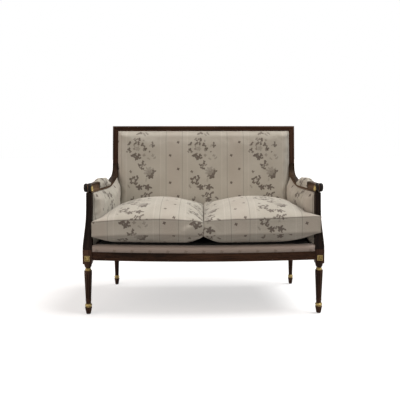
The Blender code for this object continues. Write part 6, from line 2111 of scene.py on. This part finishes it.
def make_zips():
    """The zip in the back of each cushion: two tapes, a row of teeth and a slider."""
    for side_name, side in SIDES:
        body = "cushion_" + side_name
        low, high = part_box("cushion_zip_" + side_name)
        start, end = sorted((side * low.x, side * high.x))
        back = high.y - FRONT_Y

        def seam_z(x):
            u = (x - CUSHION_GAP / 2) / (cushion_outer(side, CUSHION_BACK) - CUSHION_GAP / 2)
            return cushion_point(side, u, 1, 0.5)[2]
        rings = []
        for x in even_cuts(ZIP_CUTS, start, end):
            z = seam_z(x)
            rings.append([(x, back + depth, z + height) for depth, height in ZIP_TAPE_SECTION])
        tape = add_piece(
            "zip_tape_" + side_name, loft(rings), ZIP_TAPE, "zip_tape", side, body,
            ["cushion_zip_" + side_name])
        lay_cloth(tape, lambda x, y, z: (x, z))
        teeth = []
        for n, x in enumerate(even_cuts(ZIP_TEETH, start + ZIP_TEETH_MARGIN, end - ZIP_TEETH_MARGIN)):
            z = seam_z(x) + (ZIP_TEETH_STAGGER if n % 2 else -ZIP_TEETH_STAGGER)
            teeth.append(box_at((x, back, z), TOOTH_LOW, TOOTH_HIGH, TOOTH_ROUND, 1))
        add_piece("zip_teeth_" + side_name, joined(*teeth), STEEL, "steel", side, body)
        x = start + ZIP_SLIDER_START
        slider = joined(*(box_at((x, back, seam_z(x)), *sizes, 2) for sizes in ZIP_SLIDER))
        add_piece("zip_slider_" + side_name, slider, STEEL, "steel", side, body)


def dress_nodes():
    """Finishes for the nodes of the frame that stay as they are."""
    finishes = {"back_seat_rail": MAHOGANY["x"], "seat_brace": BEECH, "lower_back_rail": BEECH}
    for end in ("front", "rear"):
        for side_name, _ in SIDES:
            finishes["corner_block_" + end + "_" + side_name] = BEECH
            finishes["glide_" + end + "_" + side_name] = STEEL
    for side_name, _ in SIDES:
        finishes["arm_tack_rail_" + side_name] = BEECH
    for node, material in finishes.items():
        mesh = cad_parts[node].data
        mesh.materials.clear()
        mesh.materials.append(material)


# The room: floor, world, lamps and camera
FLOOR_REACH = 9.0
CAMERA_PLACE = (0.0, -3.468, 1.138)
CAMERA_YAW_DEG = 0.813
CAMERA_PITCH_DEG = 3.758
CAMERA_LENS_MM = 59.82
CAMERA_SENSOR_MM = 36
CAMERA_SHIFT = (-0.0328, -0.14)
# Name, the direction it shines from, strength, spread in degrees, colour
LAMPS = (
    ("key", (0.46, 0.0, 0.87), 2.36, 34, (1.0, 1.0, 1.0)),
    ("fill", (-0.80, -0.54, 0.32), 1.38, 80, (1.0, 0.865, 0.79)))
SOFT_LIGHT = 0.38
SOFT_LIGHT_COLOUR = (1.0, 0.935, 0.895, 1)
FLOOR_BOUNCE = (0.24, 0.24, 0.24, 1)
FLOOR_SHOWN = (0.64, 0.64, 0.64, 1)
FLOOR_GLOW = 0.52


def shader_node(tree, kind, **values):
    """Adds a shader with these values: its output."""
    node = tree.nodes.new(kind)
    for label, value in values.items():
        node.inputs[label].default_value = value
    return node.outputs[0]


def show(tree, lighting, seen, output):
    """Lets one shader light the scene, and shows another to the camera, reflections and clear bodies."""
    path = tree.nodes.new("ShaderNodeLightPath").outputs
    direct = sums(tree, "MAXIMUM", path["Is Camera Ray"], path["Is Glossy Ray"])
    direct = sums(tree, "MAXIMUM", direct, path["Is Transmission Ray"])
    choice = tree.nodes.new("ShaderNodeMixShader")
    for source, socket in zip((direct, lighting, seen), choice.inputs):
        tree.links.new(source, socket)
    tree.links.new(choice.outputs[0], tree.nodes.new(output).inputs["Surface"])


def make_floor():
    mesh = bpy.data.meshes.new("floor")
    corners = [(a * FLOOR_REACH, b * FLOOR_REACH, 0) for a, b in ((-1, -1), (1, -1), (1, 1), (-1, 1))]
    mesh.from_pydata(corners, [], [(0, 1, 2, 3)])
    put("floor", mesh)
    material = bpy.data.materials.new("pale_floor")
    material.use_nodes = True
    tree = material.node_tree
    tree.nodes.clear()
    plain = shader_node(tree, "ShaderNodeBsdfDiffuse", Color=FLOOR_BOUNCE)
    shown = shader_node(tree, "ShaderNodeBsdfDiffuse", Color=FLOOR_SHOWN)
    both = tree.nodes.new("ShaderNodeAddShader")
    tree.links.new(shown, both.inputs[0])
    tree.links.new(shader_node(tree, "ShaderNodeEmission", Strength=FLOOR_GLOW), both.inputs[1])
    show(tree, plain, both.outputs[0], "ShaderNodeOutputMaterial")
    mesh.materials.append(material)


def make_world():
    """Soft warm light from all round, in front of white."""
    world = bpy.data.worlds.new("studio")
    bpy.context.scene.world = world
    world.use_nodes = True
    tree = world.node_tree
    tree.nodes.clear()
    soft = shader_node(tree, "ShaderNodeBackground", Color=SOFT_LIGHT_COLOUR, Strength=SOFT_LIGHT)
    white = shader_node(tree, "ShaderNodeBackground", Color=(1, 1, 1, 1), Strength=1.0)
    show(tree, soft, white, "ShaderNodeOutputWorld")


def make_lamps():
    """Broad even lamps, far enough away that the whole floor is lit alike."""
    for name, from_where, strength, spread_deg, colour in LAMPS:
        light = bpy.data.lights.new(name, "SUN")
        light.color = colour
        light.energy = strength
        light.angle = math.radians(spread_deg)
        lamp = put(name, light)
        lamp.location = Vector(from_where)
        lamp.rotation_euler = (-Vector(from_where)).to_track_quat("-Z", "Y").to_euler()


def make_camera():
    camera = bpy.data.cameras.new("camera")
    camera.lens = CAMERA_LENS_MM
    camera.sensor_width = CAMERA_SENSOR_MM
    camera.shift_x, camera.shift_y = CAMERA_SHIFT
    holder = put("camera", camera)
    x, y, z = CAMERA_PLACE
    holder.location = (x, y + FRONT_Y, z)
    holder.rotation_euler = (math.radians(90 - CAMERA_PITCH_DEG), 0, math.radians(-CAMERA_YAW_DEG))
    bpy.context.scene.camera = holder


make_camera()
make_world()
make_floor()
make_lamps()
bpy.context.scene.view_settings.view_transform = "Standard"

make_back_frame()
make_front_legs()
make_feet()
make_rails()
make_arm_posts()
make_arm_rails()
make_scrolls()
make_block_rosettes()
make_arm_rosettes()
dress_nodes()
stuffing_jobs = []
cushions = make_cushions(stuffing_jobs)
padded_pieces = [(make_back_pad(stuffing_jobs), BACK_FILL)]
padded_pieces += make_arm_panels(stuffing_jobs)
padded_pieces += make_arm_pads(stuffing_jobs)
stuff(stuffing_jobs)
for cushion, seam in cushions:
    sew_seams(cushion, seam, SEAM_DEPTH)
    finish_upholstery(cushion, CUSHION_FILL)
padded_pieces.append((make_seat_deck(), DECK_FILL))
for pad, fill in padded_pieces:
    finish_upholstery(pad, fill)
make_border()
make_outer_back()
make_dust_cover()
make_webbing()
make_zips()
